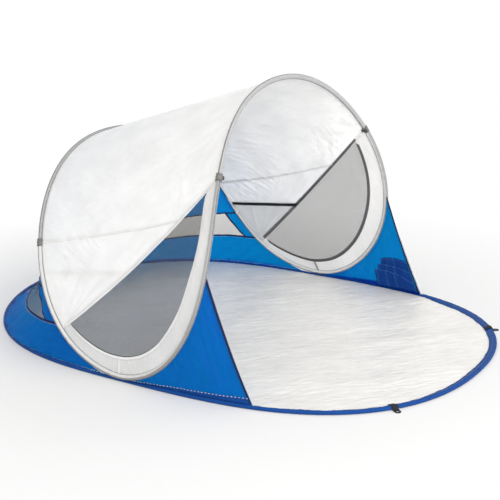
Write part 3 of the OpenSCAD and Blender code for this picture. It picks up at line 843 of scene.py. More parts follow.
def build_ring_stitches():
    """Stitches on top of the sleeve, on the line where its flap begins."""
    runs = []
    for name in QUARTERS:
        line = ring_grid(name, RING_SEAM, 2 * RING_STEPS)[:, 0]
        runs.append((line, np.tile([0.0, 0.0, 1.0], (len(line), 1))))
    add_stitches("ring_stitches", runs, RING_STITCH, BLUE_THREAD)


build_floor()
for quarter in QUARTERS:
    build_ring(quarter)
build_ring_stitches()

# ---------------------------------------------------------------- sleeves of the canopy hoop

CLIP_HALF = 0.0130
SIDE_MIDDLE = canopy_edge(0.5) * 0.5 + hoop_point(0.55) * 0.5


def speed(leg, t):
    """Metres along a leg for each unit of t."""
    return np.linalg.norm(leg(t + 0.001) - leg(t - 0.001)) / 0.002


def sleeve_section(run, seed, flat):
    """A soft tube with a sewn lip on its inner and outer side, wrinkled along its length."""
    a = turns(20)
    wide = 0.2
    lip = np.exp(-((np.minimum(a, 2 * math.pi - a) / wide) ** 2))
    lip += np.exp(-(((a - math.pi) / wide) ** 2))
    ripple = 0.00045 * folds(run[:, None], a * 0.008, 0.018, 0.012, seed)
    r = SLEEVE_R * (1 - flat * np.abs(np.sin(a))) + 0.0004 * lip + ripple
    return np.stack([r * np.cos(a), r * np.sin(a)], -1)


def add_sleeve(name, path, towards, seed, material, flat):
    """A sleeve with dark lines along its two seams, which paint the shade at its edges. flat is how much
    it is pressed flat.
    """
    section = sleeve_section(run_of(path), seed, flat)
    add_tube(f"{name}.sleeve", path, towards, section, material, [f"{name}_sleeve"])
    add_lips_with_painted_shade(f"{name}.edge", path, towards)


def add_lips_with_painted_shade(name, path, towards):
    """Dark lines along the two seams of a sleeve: the seams are real, their dark colour is painted shade
    at the sleeve's edges.
    """
    side, _ = across_path(path, towards)
    for number, sign in ((1, 1), (2, -1)):
        line = path + sign * (SLEEVE_R - 0.0010) * side
        add_tube(f"{name}_{number}", line, towards, oval(0.0030, 0.0044), LIP_SHADE_GREY)


def build_sleeves():
    for name, leg, clip, height, seed in (
        ("front_arch", front_leg, FRONT_CLIP, FRONT_H, 40),
        ("rear_arch", rear_leg, REAR_CLIP, REAR_H, 43),
    ):
        path = arch(leg, clip + CLIP_HALF / speed(leg, clip), 240)
        centre = np.array([0, path[:, 1].mean(), 0.45 * height])
        add_sleeve(name, path, centre, seed, SLEEVE_GREY, 0.34)
    front_end = FRONT_CLIP - CLIP_HALF / speed(front_leg, FRONT_CLIP)
    rear_end = REAR_CLIP - CLIP_HALF / speed(rear_leg, REAR_CLIP)
    whole = np.concatenate([front_leg(spaced(front_end, 0, 130)), rear_leg(spaced(0, rear_end, 110))[1:]])

    def side(name, flip, seed):
        add_sleeve(f"{name}_side", whole * flip, SIDE_MIDDLE * flip, 46 + seed, SIDE_SLEEVE, 0.16)

    both_sides(side)


# Places along a clip and its radius there; places across its latch and the latch's width there.
CLIP_PROFILE = [
    (-0.0120, 0.0100), (-0.0118, 0.0112), (-0.0095, 0.0115), (-0.0090, 0.0106), (-0.0035, 0.0106),
    (-0.0030, 0.0114), (0.0030, 0.0114), (0.0035, 0.0106), (0.0090, 0.0106), (0.0095, 0.0115),
    (0.0118, 0.0112), (0.0120, 0.0100),
]
LATCH_PROFILE = [
    (-0.0125, 0.005), (-0.0115, 0.0078), (-0.0085, 0.0078), (-0.0075, 0.0060),
    (0.0075, 0.0060), (0.0085, 0.0078), (0.0115, 0.0078), (0.0125, 0.005),
]
LATCH_DEPTH = 0.0105


def add_clip(name, at, way, flip):
    """A moulded clip: a ribbed collar with a dark latch on its inner side."""
    way = unit(way * flip)
    outward = unit((at - np.array([0, at[1], at[2] * 0.6])) * flip)
    centre = at * flip
    path = centre + np.array([p[0] for p in CLIP_PROFILE])[:, None] * way
    section = np.stack([oval(2 * radius, 2 * radius, 28) for _, radius in CLIP_PROFILE])
    add_tube(f"{name}.clip", path, centre + 2 * outward, section, CLIP_GREY, [name])
    across = np.cross(way, outward)
    latch = centre - LATCH_DEPTH * outward + np.array([p[0] for p in LATCH_PROFILE])[:, None] * across
    shape = np.stack([oval(wide, 1.7 * wide, 16, 0.6) for _, wide in LATCH_PROFILE])
    add_tube(f"{name}.latch", latch, centre - 2 * outward, shape, LATCH_GREY)


def build_clips():
    def side(name, flip, seed):
        for part, leg, at in (("front", front_leg, FRONT_CLIP), ("rear", rear_leg, REAR_CLIP)):
            add_clip(f"{name}_{part}_clip", leg(at), leg(at + 0.001) - leg(at - 0.001), flip)

    both_sides(side)


build_sleeves()
build_clips()

# ---------------------------------------------------------------- canopy

GIRTH = 0.93
CANOPY_LENGTH = 0.80


def slanted(x, y, degrees):
    """Distances along and across a direction."""
    c, s = math.cos(math.radians(degrees)), math.sin(math.radians(degrees))
    return x * c + y * s, y * c - x * s


def within(x, y, x0, y0, rx, ry):
    """1 around a place and falling to 0 over about rx and ry."""
    return np.exp(-(((x - x0) / rx) ** 2) - ((y - y0) / ry) ** 2)


def canopy_height(side, a, b):
    """Wrinkles of the canopy. side is -1 on the left and 1 on the right."""
    seed = 70 if side > 0 else 60
    s, t = (1 - a) * GIRTH, b * CANOPY_LENGTH
    girth = side * s
    clip_s = (1 - seam_at(0)) * GIRTH
    fans = 0.0022 * fan(s - clip_s, t, 0.34, 7.0, seed + (1 if side < 0 else 2))
    fans = fans + 0.0040 * fan(s - GIRTH, t - CANOPY_LENGTH, 0.30, 6.0, seed + 3)
    fans = fans + 0.0030 * fan(s - GIRTH, t, 0.30, 8.0, seed + 4)
    above, below = slanted(t, s - clip_s, 46), slanted(t, s - clip_s, 66)
    over = within(t, s, 0.24, clip_s - 0.09, 0.20, 0.085)
    under = within(t, s, 0.20, clip_s + 0.10, 0.17, 0.09)
    slants = 0.0036 * creases(*above, 0.22, 0.024, seed + 9) * over
    slants = slants + 0.0042 * creases(*below, 0.20, 0.024, seed + 10) * under
    near_front = within(t, s, 0.64, GIRTH - 0.13, 0.09, 0.16)
    drops = 0.0038 * creases(s, t, 0.18, 0.022, seed + 11) * near_front
    long = 0.0020 * folds(t, girth, 0.6, 0.055, seed + 5) + 0.0014 * folds(girth, t, 0.5, 0.09, seed + 6)
    seam = np.abs(a - seam_at(b)) * GIRTH
    pucker = 0.0010 * near_edge(seam, 0.02) * noise(t / 0.016, s / 0.03, seed + 7) * (b < SEAM_SHARE)
    ends = np.minimum(b, 1 - b) * CANOPY_LENGTH
    gather = 0.0012 * near_edge(ends, 0.030) * noise(girth / 0.020, t / 0.05, seed + 8)
    fade = np.clip(ends / 0.05, 0, 1)
    return (fans + slants + drops + long) * fade + pucker + gather * np.clip(ends / 0.006, 0, 1)


def drawn_in(grid, d0, d1):
    """The grid with its first and last columns drawn in by d0 and d1."""
    span = lengths(grid, 1)[..., -1:]
    cols = grid.shape[1]
    share = mix(d0 / span, 1 - d1 / span, np.linspace(0, 1, cols))
    at = share * (cols - 1)
    low = np.clip(at.astype(int), 0, cols - 2)
    rows = np.arange(grid.shape[0])[:, None]
    return mix(grid[rows, low], grid[rows, low + 1], (at - low)[..., None])


def canopy_surface(flip, a, b, lift=0.0):
    """Points of the wrinkled canopy on one side, lifted outwards."""
    a, b = np.broadcast_arrays(a, b)
    return raised(canopy_point(a, b) * flip, canopy_height(float(flip[0]), a, b) + lift)


def build_canopy_top():
    """The canopy over the crown: c is the share of the girth from left, -1, to right, 1."""
    b = spaced(0, 1, 96)[None, :]
    c = spaced(-1, 1, 220)[:, None] * (1 - seam_at(b))
    a, b = np.broadcast_arrays(1 - np.abs(c), b)
    p = canopy_point(a, b)
    p[..., 0] *= np.where(c < 0, -1.0, 1.0)
    left, right = canopy_height(-1.0, a, b), canopy_height(1.0, a, b)
    over = np.clip(0.5 + c / 0.3, 0, 1)
    height = mix(left, right, eased(over))
    p = drawn_in(p, SEWN_AT, SEWN_AT)
    add_cloth("canopy_top", raised(p, height), p, WHITE)


def build_canopy_side(name, flip, seed):
    b = spaced(0, 0.99 * SEAM_SHARE, 130)[None, :]
    k = spaced(0, 1, 70)[:, None]
    a, b = np.broadcast_arrays(seam_at(b) * k, b)
    p = drawn_in(canopy_point(a, b) * flip, SEWN_AT, 0.0)
    grid = raised(p, canopy_height(float(flip[0]), a, b))
    add_cloth(f"{name}_canopy_side", grid, p, WHITE)


THIN_T, TAPE_T = 0.0006, 0.0008
OUTSIDE, HEM_OUTSIDE, INSIDE, TAPE_INSIDE = 0.0013, 0.0014, -0.0015, -0.0016
SEAM_TAPE_W = 0.011
BINDING_W = 0.020
HEM_W = 0.010
DARK_END = 0.925


def build_canopy_seams(name, flip, seed):
    """A felled seam outside and a flat pale tape inside, along the side seam."""
    b = spaced(0.012, 0.985 * SEAM_SHARE, 90)[:, None]
    wide = np.maximum(seam_at(b) + spaced(-0.5, 0.5, 4) * SEAM_TAPE_W / GIRTH, 0.001)
    swell = 0.0012 * np.array([0.1, 0.8, 1.0, 0.8, 0.1])
    outer = canopy_surface(flip, wide, b, 0.0005 + swell)
    add_sheet(f"{name}_canopy_seam.fell", outer, WHITE, (), THIN_T)
    inner = canopy_surface(flip, wide, b, -0.0014)
    add_sheet(f"{name}_canopy_seam.tape", inner, SEAM_GREY, (), THIN_T)
    runs = [line_at(outer, share, 1) for share in (0.2, 0.8)]
    add_stitches(f"{name}_canopy_seam.stitches", runs, FINE_STITCH, WHITE_THREAD)


def build_canopy_binding(name, flip, seed):
    """Binding along the lower edge: a dark tape inside and a narrow white hem outside."""
    dark = spaced(0.045, DARK_END, 140)[:, None]
    inner = canopy_surface(flip, spaced(0, BINDING_W, 5) / GIRTH, dark, TAPE_INSIDE)
    tape = f"{name}_canopy_tape"
    add_sheet(f"{tape}.inside", inner, DARK_TAPE, [tape], TAPE_T)
    pale = spaced(DARK_END, 0.98, 12)[:, None]
    narrow = canopy_surface(flip, spaced(0, 0.6 * BINDING_W, 4) / GIRTH, pale, TAPE_INSIDE)
    add_sheet(f"{tape}.end", narrow, SEAM_GREY, (), TAPE_T)
    b = spaced(0.022, 0.978, 150)[:, None]
    fold = 0.0007 * noise(b * CANOPY_LENGTH / 0.012, 0.4, 90 + seed)
    outer = canopy_surface(flip, spaced(0, HEM_W, 4) / GIRTH, b, fold + OUTSIDE)
    hem = f"{name}_canopy_hem"
    add_sheet(f"{hem}.outside", outer, WHITE, (), THIN_T)
    edge = canopy_surface(flip, spaced(0, 0.004, 2) / GIRTH, b)[:, 0]
    add_tube(f"{hem}.roll", edge, edge + [0, 0, 1], oval(0.0030, 0.0036), WHITE)
    runs = [line_at(inner, 0.75, -1, 0.0004), line_at(outer, 0.8, 1, 0.0004)]
    add_stitches(f"{hem}.stitches", runs, FINE_STITCH, GREY_THREAD)


build_canopy_top()
for build in (build_canopy_side, build_canopy_seams, build_canopy_binding):
    both_sides(build)

# ---------------------------------------------------------------- side windows

NET_LAP = 0.003
TRIM_SHORT = 0.006
SEAM_LEAN = 0.0167
BAND_START, BAND_STOP = 0.015, 0.975
HOOP_LENGTH = 1.32  # from the low rear corner to the front clip


def side_height(v, d, seed):
    """Wrinkles of a side window: gathers at the sleeve and long slack waves further in."""
    t = v * HOOP_LENGTH
    gathers = 0.0014 * near_edge(d - SLEEVE_R, 0.020) * noise(t / 0.016, d / 0.03, 100 + seed)
    slack = 0.0016 * folds(t, d, 0.16, 0.05, 103 + seed)
    slack = slack + 0.0020 * noise(t / 0.11, d / 0.16, 105 + seed)
    return (gathers + slack) * np.clip((d - SLEEVE_R) / 0.008, 0, 1)


def side_surface(flip, v, d, seed, lift=0.0):
    """Points of a wrinkled side window, lifted outwards. It lies flat at the canopy's edge."""
    v, d = np.broadcast_arrays(v, d)
    fade = np.clip((side_span(v) - d) / 0.03, 0, 1)
    return raised(side_point(v, d) * flip, side_height(v, d, seed) * fade + lift)


def band_width(v):
    """The band is wider along the front leg."""
    return BAND_W + BAND_WIDER * eased(np.clip((v - 0.35) / 0.3, 0, 1))


def band_reach(v):
    return np.minimum(band_width(v), side_span(v) - 0.002)


def build_bands(name, flip, seed):
    """The white band around a side window, in two pieces that meet at the foot seam."""
    for part, start, stop, steps in (
        ("rear", BAND_START, FOOT_SHARE - 0.0005, 80),
        ("front", FOOT_SHARE + 0.0005, BAND_STOP, 150),
    ):
        k = spaced(0, 1, 12)
        near_foot = start if part == "front" else stop
        v = spaced(start, stop, steps)[:, None]
        v = v + SEAM_LEAN * k * (1 - np.abs(v - near_foot) / (stop - start))
        reach = np.maximum(band_reach(v), SLEEVE_R + 0.001)
        d = mix(SEWN_AT, reach, k)
        grid, flat = side_surface(flip, v, d, seed), side_point(v, d) * flip
        node, sleeve = f"{name}_{part}_band", f"{name}_side.sleeve"
        add_cloth(node, grid, flat, BAND_WHITE)


def net_range():
    """Shares of the hoop between which there is room for the side mesh inside the band."""
    v = spaced(0.03, 0.97, 940)
    room = v[side_span(v) - band_width(v) > 0.004]
    return room[0], room[-1]


def build_side_mesh(name, flip, seed):
    first, last = net_range()
    v = mix(first, last, spaced(0, 1, 170))[:, None]
    d = mix(band_width(v) - NET_LAP, side_span(v) - 0.0015, spaced(0, 1, 40))
    grid, flat = side_surface(flip, v, d, seed), side_point(v, d) * flip
    node, sleeve = f"{name}_side_mesh", f"{name}_side.sleeve"
    add_cloth(node, grid, flat, SIDE_NET, thickness=NET_T)


def build_band_trim(name, flip, seed):
    """Bindings inside, and hems with their stitching outside, along the bands' edges."""
    first, last = net_range()
    v = mix(first + TRIM_SHORT, last - TRIM_SHORT, spaced(0, 1, 200))[:, None]
    inner = side_surface(flip, v, band_width(v) + spaced(-HEM_W, 0.004, 4), seed, INSIDE)
    add_sheet(f"{name}_band_tape.inside", inner, DARK_TAPE, (), TAPE_T)
    outer = side_surface(flip, v, band_width(v) + spaced(-HEM_W, 0.001, 4), seed, OUTSIDE)
    add_sheet(f"{name}_band_hem.outside", outer, SEAM_GREY, (), THIN_T)
    d = spaced(SLEEVE_R, BAND_W - 0.002, 20)[:, None]
    foot = FOOT_SHARE + SEAM_LEAN * d / BAND_W + spaced(-0.5, 0.5, 4) * SEAM_TAPE_W / HOOP_LENGTH
    seam_out = side_surface(flip, foot, d, seed, OUTSIDE)
    seam_in = side_surface(flip, foot, d, seed, INSIDE)
    add_sheet(f"{name}_foot_seam.outside", seam_out, SEAM_GREY, (), THIN_T)
    add_sheet(f"{name}_foot_seam.inside", seam_in, GREY_TAPE, (), THIN_T)
    runs = [line_at(grid, share, 1, 0.0002) for grid in (outer, seam_out) for share in (0.15, 0.85)]
    add_stitches(f"{name}_band.stitches", runs, FINE_STITCH, GREY_THREAD)


for build in (build_bands, build_side_mesh, build_band_trim):
    both_sides(build)

# ---------------------------------------------------------------- rear wall

CORNER_GAP = 0.018
STRIP_LOW, STRIP_HIGH = float(strip_angle(WINDOW_LOW)), float(strip_angle(WINDOW_HIGH))
WALL_LENGTHS = [1.95, 1.75, 1.45, 1.25, 1.2]
WALL_LEVELS = [0.09, 0.2, 0.345, 0.47, 0.6]
WALL_LOW = WALL_START - 0.004
WALL_SLOPE = 1.15
UPPER_REACH = 0.97
UPPER_RISE = 0.42
TUCK = 0.013


def corner_angle():
    """Angle on the window's upper seam that is CORNER_GAP from the leg."""
    a = np.arange(1, 30, 0.25)
    away = np.linalg.norm(wall_point(WINDOW_HIGH, a) - wall_point(WINDOW_HIGH, 0), axis=-1)
    return a[np.argmax(away > CORNER_GAP)]


CORNER_ANGLE = corner_angle()


def wall_run(u, a):
    """Metres along the wall's level curve from its middle, about even along it."""
    a = np.clip(a, 0, 180)
    power = 1 / WALL_SPREAD
    share = np.where(a < 90, 0.5 * (a / 90) ** power, 1 - 0.5 * ((180 - a) / 90) ** power)
    return (share - 0.5) * np.interp(u, WALL_LEVELS, WALL_LENGTHS)


def wall_rise(u):
    """Metres up the wall from its lower edge."""
    return (np.asarray(u) - WALL_START) * WALL_SLOPE


def wall_height(u, a):
    """Wrinkles of the rear wall: upright folds, puckers at the floor and at the window's seams."""
    t, r = wall_run(u, a), wall_rise(u)
    low = near_edge(r, 0.06)
    low_seam, high_seam = (np.abs(u - level) * WALL_SLOPE for level in (WINDOW_LOW, WINDOW_HIGH))
    seams = near_edge(low_seam, 0.05) + near_edge(high_seam, 0.04)
    upright = 0.0064 * folds(r, t, 0.5, 0.075, 120) + 0.0040 * folds(r, t, 0.22, 0.030, 122)
    upright = upright * (1 - 0.55 * np.minimum(seams, 1))
    puckers = 0.0034 * low * noise(t / 0.019, r / 0.10, 124)
    puckers = puckers + 0.0012 * seams * noise(t / 0.017, r / 0.10, 125)
    ends = np.clip((90 - np.abs(a - 90)) / 6, 0, 1)
    tucked = TUCK * near_edge(r, 0.045) * np.minimum(1, 2 * np.abs(np.cos(np.radians(a))))
    return (upright * np.clip(r / 0.05, 0.25, 1) + puckers - tucked) * ends


def wall_surface(u, a, lift=0.0):
    """Points of the wrinkled wall, lifted outwards."""
    u, a = np.broadcast_arrays(u, a)
    return raised(wall_point(u, a), wall_height(u, a) + lift)


def upper_point(c, k):
    """Upper panel: c runs from side to side, k from the window's seam up to the rear arch."""
    c, k = np.broadcast_arrays(c, k)
    s = np.abs(c)
    side = np.where(c < 0, -1.0, 1.0)
    low = wall_point(WINDOW_HIGH, mix(90, CORNER_ANGLE, s**1.2))
    high = rear_leg(1 - (1 - WINDOW_HIGH) * UPPER_REACH * s)
    p = mix(low, high, k[..., None]) - points(0, 4 * WALL_DRAW * k * (1 - k) * (1 - s * s), 0)
    p[..., 0] *= side
    return p


def upper_height(c, k):
    """Wrinkles of the upper panel, which go on from those at the window's seam."""
    a = 90 - np.sign(c) * (90 - CORNER_ANGLE) * np.abs(c) ** 1.2
    low = wall_height(WINDOW_HIGH, a)
    rise = k * UPPER_RISE
    t = wall_run(WINDOW_HIGH, a)
    own = 0.0050 * folds(rise, t, 0.45, 0.08, 126) + 0.0026 * folds(rise, t, 0.2, 0.033, 127)
    top = 0.0012 * near_edge(UPPER_RISE - rise, 0.03) * noise(t / 0.018, rise / 0.05, 128)
    return mix(low, own + top, np.clip(k / 0.12, 0, 1)) * np.clip((1 - k) / 0.03, 0, 1)


def upper_surface(c, k):
    c, k = np.broadcast_arrays(c, k)
    return raised(upper_point(c, k), upper_height(c, k))


def wall_sheet(node, u, a, ends, material, thickness=CLOTH_T):
    """A piece of the wall between the legs. ends is how far its two ends stop short of them."""
    u, a = np.broadcast_arrays(u, a)
    flat = drawn_in(wall_point(u, a), *ends)
    grid = raised(flat, wall_height(u, a))
    add_cloth(node, grid, flat, material, thickness=thickness)


def build_rear_wall():
    u = spaced(WALL_LOW, WINDOW_LOW, 60)[:, None]
    a = wall_angle(spaced(0, 1, 300))
    wall_sheet("rear_lower_panel", u, a, (SEWN_AT, SEWN_AT), BLUE)
    i = spaced(0, 1, 24)[:, None]
    u = mix(WINDOW_LOW, WINDOW_HIGH, i)
    end = mix(STRIP_LOW, STRIP_HIGH, i)
    a = mix(end, 180 - end, spaced(0, 1, 200))
    wall_sheet("rear_window_mesh", u, a, (0, 0), WINDOW_NET, NET_T)
    a = end * spaced(0, 1, 16)
    wall_sheet("rear_right_strip", u, a, (SEWN_AT, 0), BLUE)
    wall_sheet("rear_left_strip", u, 180 - a, (SEWN_AT, 0), BLUE)
    c, k = spaced(-1, 1, 240)[:, None], spaced(0, 0.978, 60)
    grid, flat = upper_surface(c, k), upper_point(c, k)
    add_cloth("rear_upper_panel", grid, flat, BLUE)


def add_wall_piping(name, grid):
    """Navy piping along the middle line of a narrow grid on the wall."""
    add_tube(name, grid[:, 1], grid[:, 2], oval(0.0078, 0.0036), NAVY_TAPE)


def build_wall_trim():
    """Piping along the wall's seams."""
    a = wall_angle(spaced(0.006, 0.994, 300))[:, None]
    beside = np.array([-0.004, 0, 0.004])
    add_wall_piping("rear_wall.low_piping", wall_surface(WINDOW_LOW + beside, a))
    add_wall_piping("rear_wall.high_piping", wall_surface(WINDOW_HIGH + beside, a))
    i = spaced(0.02, 0.98, 30)[:, None]
    for name, sign in (("right", 1), ("left", -1)):
        end = mix(STRIP_LOW, STRIP_HIGH, i) + beside * 150  # the same width in degrees
        grid = wall_surface(mix(WINDOW_LOW, WINDOW_HIGH, i), 90 - sign * (90 - end))
        add_wall_piping(f"rear_wall.{name}_end_piping", grid)
    c = spaced(-0.985, 0.985, 240)[:, None]
    add_wall_piping("rear_wall.arch_piping", upper_surface(c, 0.966 + beside))


HEM_RISE = 0.015


def build_wall_hem():
    """A darker hem outside, along the floor, with its pale stitching."""
    a = wall_angle(spaced(0.004, 0.996, 420))[:, None]
    u = WALL_LOW + spaced(0, HEM_RISE, 4)
    grid = wall_surface(u, a, HEM_OUTSIDE)
    add_sheet("rear_wall.hem", grid, RING_BLUE, (), THIN_T)
    runs = [line_at(grid, 0.8, 1)]
    add_stitches("rear_wall.hem_stitches", runs, HEM_STITCH, PALE_THREAD)


def build_rear_lining():
    """Cloth inside the rear arch: it hides the sleeve between the canopy and the wall."""
    c = spaced(-0.985, 0.985, 240)
    t = 1 - (1 - REAR_CORNER) * np.abs(c)
    p = rear_leg(t)
    to_front = unit(canopy_point((t - REAR_CORNER) / (1 - REAR_CORNER), 0.03) - p)
    upper = (1 - WINDOW_HIGH) * UPPER_REACH
    to_wall = unit(upper_point(np.clip((1 - t) / upper, 0, 1), 0.97) - rear_leg(np.maximum(t, 1 - upper)))
    low_t = np.minimum(t, WINDOW_HIGH)
    low = unit(wall_point(low_t, 8.0) - rear_leg(low_t))
    to_wall = np.where((t < WINDOW_HIGH)[:, None], low, to_wall)
    inward = unit(to_front + to_wall)
    beside = inward * (SLEEVE_R * 0.75 + 0.001)
    rows = [
        p + to_front * (SLEEVE_R + 0.012) + inward * 0.0022,
        p + to_front * (SLEEVE_R * 0.75) + beside,
        p + inward * (SLEEVE_R + 0.0014),
        p + to_wall * (SLEEVE_R * 0.75) + beside,
        p + to_wall * (SLEEVE_R + 0.001) + inward * 0.0024,
    ]
    grid = np.stack(rows, 1)
    grid[..., 0] *= np.where(c < 0, -1, 1)[:, None]
    piece = add_sheet("rear_arch.lining", grid, WHITE)
    piping = oval(0.0050, 0.0040)
    add_tube("rear_arch.lining_piping", grid[:, 4], grid[:, 3], piping, NAVY_TAPE)


def build_wall_stitches():
    """Stitches on both faces beside the hem and the window's seams."""
    a = wall_angle(spaced(0.01, 0.99, 400))[:, None]
    beside = np.array([-0.002, 0, 0.002])
    runs = []
    for u in (WALL_START + 0.016, WINDOW_LOW - 0.008, WINDOW_HIGH):
        grid = wall_surface(u + beside, a)
        runs += [line_at(grid, 0.5, face, 0.0004) for face in (1, -1)]
    add_stitches("rear_wall.stitches", runs, WALL_STITCH, PALE_THREAD)


for build in (build_rear_wall, build_wall_trim, build_wall_hem, build_rear_lining, build_wall_stitches):
    build()

# ---------------------------------------------------------------- gussets

GUSSET_START = 0.05
HEM_SHARE = 0.02
GUSSET_W, GUSSET_H = 0.45, 0.30
LOW_HEM_W = 0.022
TRIM_START, TRIM_STOP = 0.035, 0.985


def gusset_height(s, k, seed):
    """Wrinkles of a gusset, which fan out from the foot and gather at the floor."""
    t, r = s * GUSSET_W, k * GUSSET_H
    inside = k * (1 - k)
    fanned = 0.0056 * folds(r, t, 0.35, 0.060, 140 + seed)
    fanned = fanned + 0.0036 * folds(r, t, 0.2, 0.026, 142 + seed)
    low = 0.0014 * near_edge(GUSSET_H * s * (1 - k), 0.02) * noise(t / 0.015, r / 0.05, 144 + seed)
    high = 0.0012 * near_edge(GUSSET_H * s * k, 0.02) * noise(t / 0.016, r / 0.05, 145 + seed)
    total = fanned * np.clip(4 * inside, 0, 1) + (low + high) * np.clip(20 * inside, 0, 1)
    return total * np.clip(s / 0.2, 0, 1)


def gusset_surface(flip, s, k, seed, lift=0.0):
    s, k = np.broadcast_arrays(s, k)
    return raised(gusset_point(s, k) * flip, gusset_height(s, k, seed) + lift)


def build_gusset(name, flip, seed):
    s = spaced(GUSSET_START, 1 - HEM_SHARE / 2, 90)[:, None]
    k = spaced(0, 1, 60)
    flat = gusset_point(s, k) * flip
    grid = drawn_in(gusset_surface(flip, s, k, seed), SEWN_AT, 0.0)
    node, sleeve = f"{name}_gusset", f"{name}_side.sleeve"
    add_cloth(node, grid, flat, BLUE)
    build_gusset_trim(name, flip, seed)


def build_gusset_trim(name, flip, seed):
    """A navy fold along the free edge, and stitches beside it and beside the floor."""
    k = spaced(TRIM_START, TRIM_STOP, 120)[:, None]
    hem = gusset_surface(flip, 1 - HEM_SHARE + spaced(-0.5, 0.5, 4) * 0.030, k, seed)
    node, fold = f"{name}_gusset_hem", oval(0.0078, 0.0040)
    add_tube(f"{node}.fold", hem[:, 2], hem[:, 4], fold, NAVY_TAPE, [node])
    beside = spaced(-0.5, 0.5, 2) * 0.01
    s = spaced(0.1, 0.95, 120)[:, None]
    edge = gusset_surface(flip, 0.955 + beside, k, seed)
    foot = gusset_surface(flip, s, 0.965 + beside, seed)
    runs = [line_at(grid, 0.5, face, 0.0003) for grid in (edge, foot) for face in (1, -1)]
    add_stitches(f"{name}_gusset.stitches", runs, WALL_STITCH, NAVY_THREAD)


def build_gusset_hem(name, flip, seed):
    """A darker hem outside, along the floor, with its pale stitching."""
    s = spaced(0.10, 1 - HEM_SHARE, 130)[:, None]
    rise = np.minimum(LOW_HEM_W / (0.36 * s), 0.3)
    grid = gusset_surface(flip, s, 1 - rise * spaced(1, 0, 4), seed, HEM_OUTSIDE)
    add_sheet(f"{name}_gusset.low_hem", grid, RING_BLUE, (), THIN_T)
    runs = [line_at(grid, 0.12, 1)]
    add_stitches(f"{name}_gusset.hem_stitches", runs, HEM_STITCH, PALE_THREAD)


def build_gusset_edge():
    """A pale strip along the lower part of the right gusset's free edge."""
    k = spaced(0.45, TRIM_STOP, 60)[:, None]
    grid = gusset_surface(RIGHT_SIDE, 0.994 + spaced(0, 0.022, 3), k, 0)
    add_sheet("right_gusset.edge_strip", grid, SEAM_GREY, (), 0.0012)


POCKET_T = 0.0012
POCKET_STEPS = 30


def pocket_layer(n):
    """Shares s and k of one layer of the stepped pocket: each is lower and wider than the last."""
    back = 0.635 - 0.035 * n
    s = spaced(back, 0.968, POCKET_STEPS)[:, None]
    top = 0.44 + 0.105 * n + 0.70 * (s - 0.64)
    return s, mix(top, 0.965, spaced(0, 1, POCKET_STEPS))


def build_gusset_pocket():
    """Three layers of a stepped patch pocket on the inner face of the right gusset."""
    runs = []
    lift = POCKET_T / 2 - CLOTH_T / 2 + 0.0002
    for n in range(3):
        s, k = pocket_layer(n)
        share = spaced(0, 1, POCKET_STEPS)
        puff = 0.0016 * np.sin(math.pi * share) * (1 + 0.6 * noise(s / 0.1, k / 0.2, 150 + n))
        grid = gusset_surface(RIGHT_SIDE, s, k, 0, -0.0024 * (n + 1) - puff)
        replaces = ["right_gusset_pocket"] if n == 0 else ()
        name = f"right_gusset_pocket.layer_{n + 1}"
        piece = add_sheet(name, grid, NAVY, replaces, POCKET_T)
        across = turned(grid)
        runs.append(line_at(grid, 0.05, -1, lift))
        runs += [line_at(across, place, -1, lift) for place in (0.04, 0.28, 0.52)]
    add_stitches("right_gusset_pocket.stitches", runs, POCKET_STITCH, BLUE_THREAD)


for build in (build_gusset, build_gusset_hem):
    both_sides(build)
build_gusset_edge()
build_gusset_pocket()

# ---------------------------------------------------------------- corner pockets


def pocket_surface(flip, s, k, seed):
    s, k = np.broadcast_arrays(s, k)
    slack = 0.0030 * folds(s * 0.2, k * 0.25, 0.3, 0.06, 160 + seed)
    slack = slack + 0.0014 * noise(k / 0.07, s / 0.3, 162 + seed) * s
    grid = pocket_point(s, k) * flip
    grid[..., 0] -= flip[0] * slack * 4 * k * (1 - k)
    return grid


def build_corner_pocket(name, flip, seed):
    """The net of a corner pocket, with gathered elastic along its top."""
    s, k = spaced(0.06, 1, 40)[:, None], spaced(0, 1, 60)
    flat = pocket_point(s, k) * flip
    grid = drawn_in(pocket_surface(flip, s, k, seed), SEWN_AT, 0.001)
    node, elastic, sleeve = f"{name}_pocket_mesh", f"{name}_pocket_elastic", f"{name}_side.sleeve"
    add_cloth(node, grid, flat, POCKET_NET, NET_T)
    k = spaced(TRIM_START, TRIM_STOP, 200)[:, None]
    top = pocket_surface(flip, 1 + spaced(-0.5, 0.5, 2) * 0.01, k, seed)
    path = top[:, 1]
    gather = 1 + 0.10 * np.sin(run_of(path) * 2 * math.pi / 0.006)[:, None, None]
    section = oval(0.0135, 0.0044, 14, 0.8) * gather
    add_tube(f"{elastic}.band", path, top[:, 2], section, ELASTIC, [elastic])


both_sides(build_corner_pocket)

# ---------------------------------------------------------------- peg loops

LOOP_W = 0.022
EYE_REACH = 0.0173
EYE_R = 0.005
WEB_T = 0.0019


def loop_place(flip):
    """Where a peg loop sits: the outline's point, the way out and the way along."""
    p = outline(LOOP_ANGLE)
    ahead, behind = outline(LOOP_ANGLE + 0.5), outline(LOOP_ANGLE - 0.5)
    d = unit(ahead - behind)
    out = np.array([d[1], -d[0], 0]) * flip
    return np.array([p[0], p[1], 0]) * flip, out, np.array([-out[1], out[0], 0])


# The strap from inside the hoop to its outer side: the distance out, and the height.
STRAP_PROFILE = np.array([
    (-0.028, 0.0078), (-0.023, 0.0086), (-0.018, 0.0104), (-0.013, 0.0130), (-0.008, 0.0152),
    (-0.003, 0.0148), (0.0008, 0.0118), (0.0028, 0.0062), (0.0050, 0.0024), (0.0100, 0.0014),
])
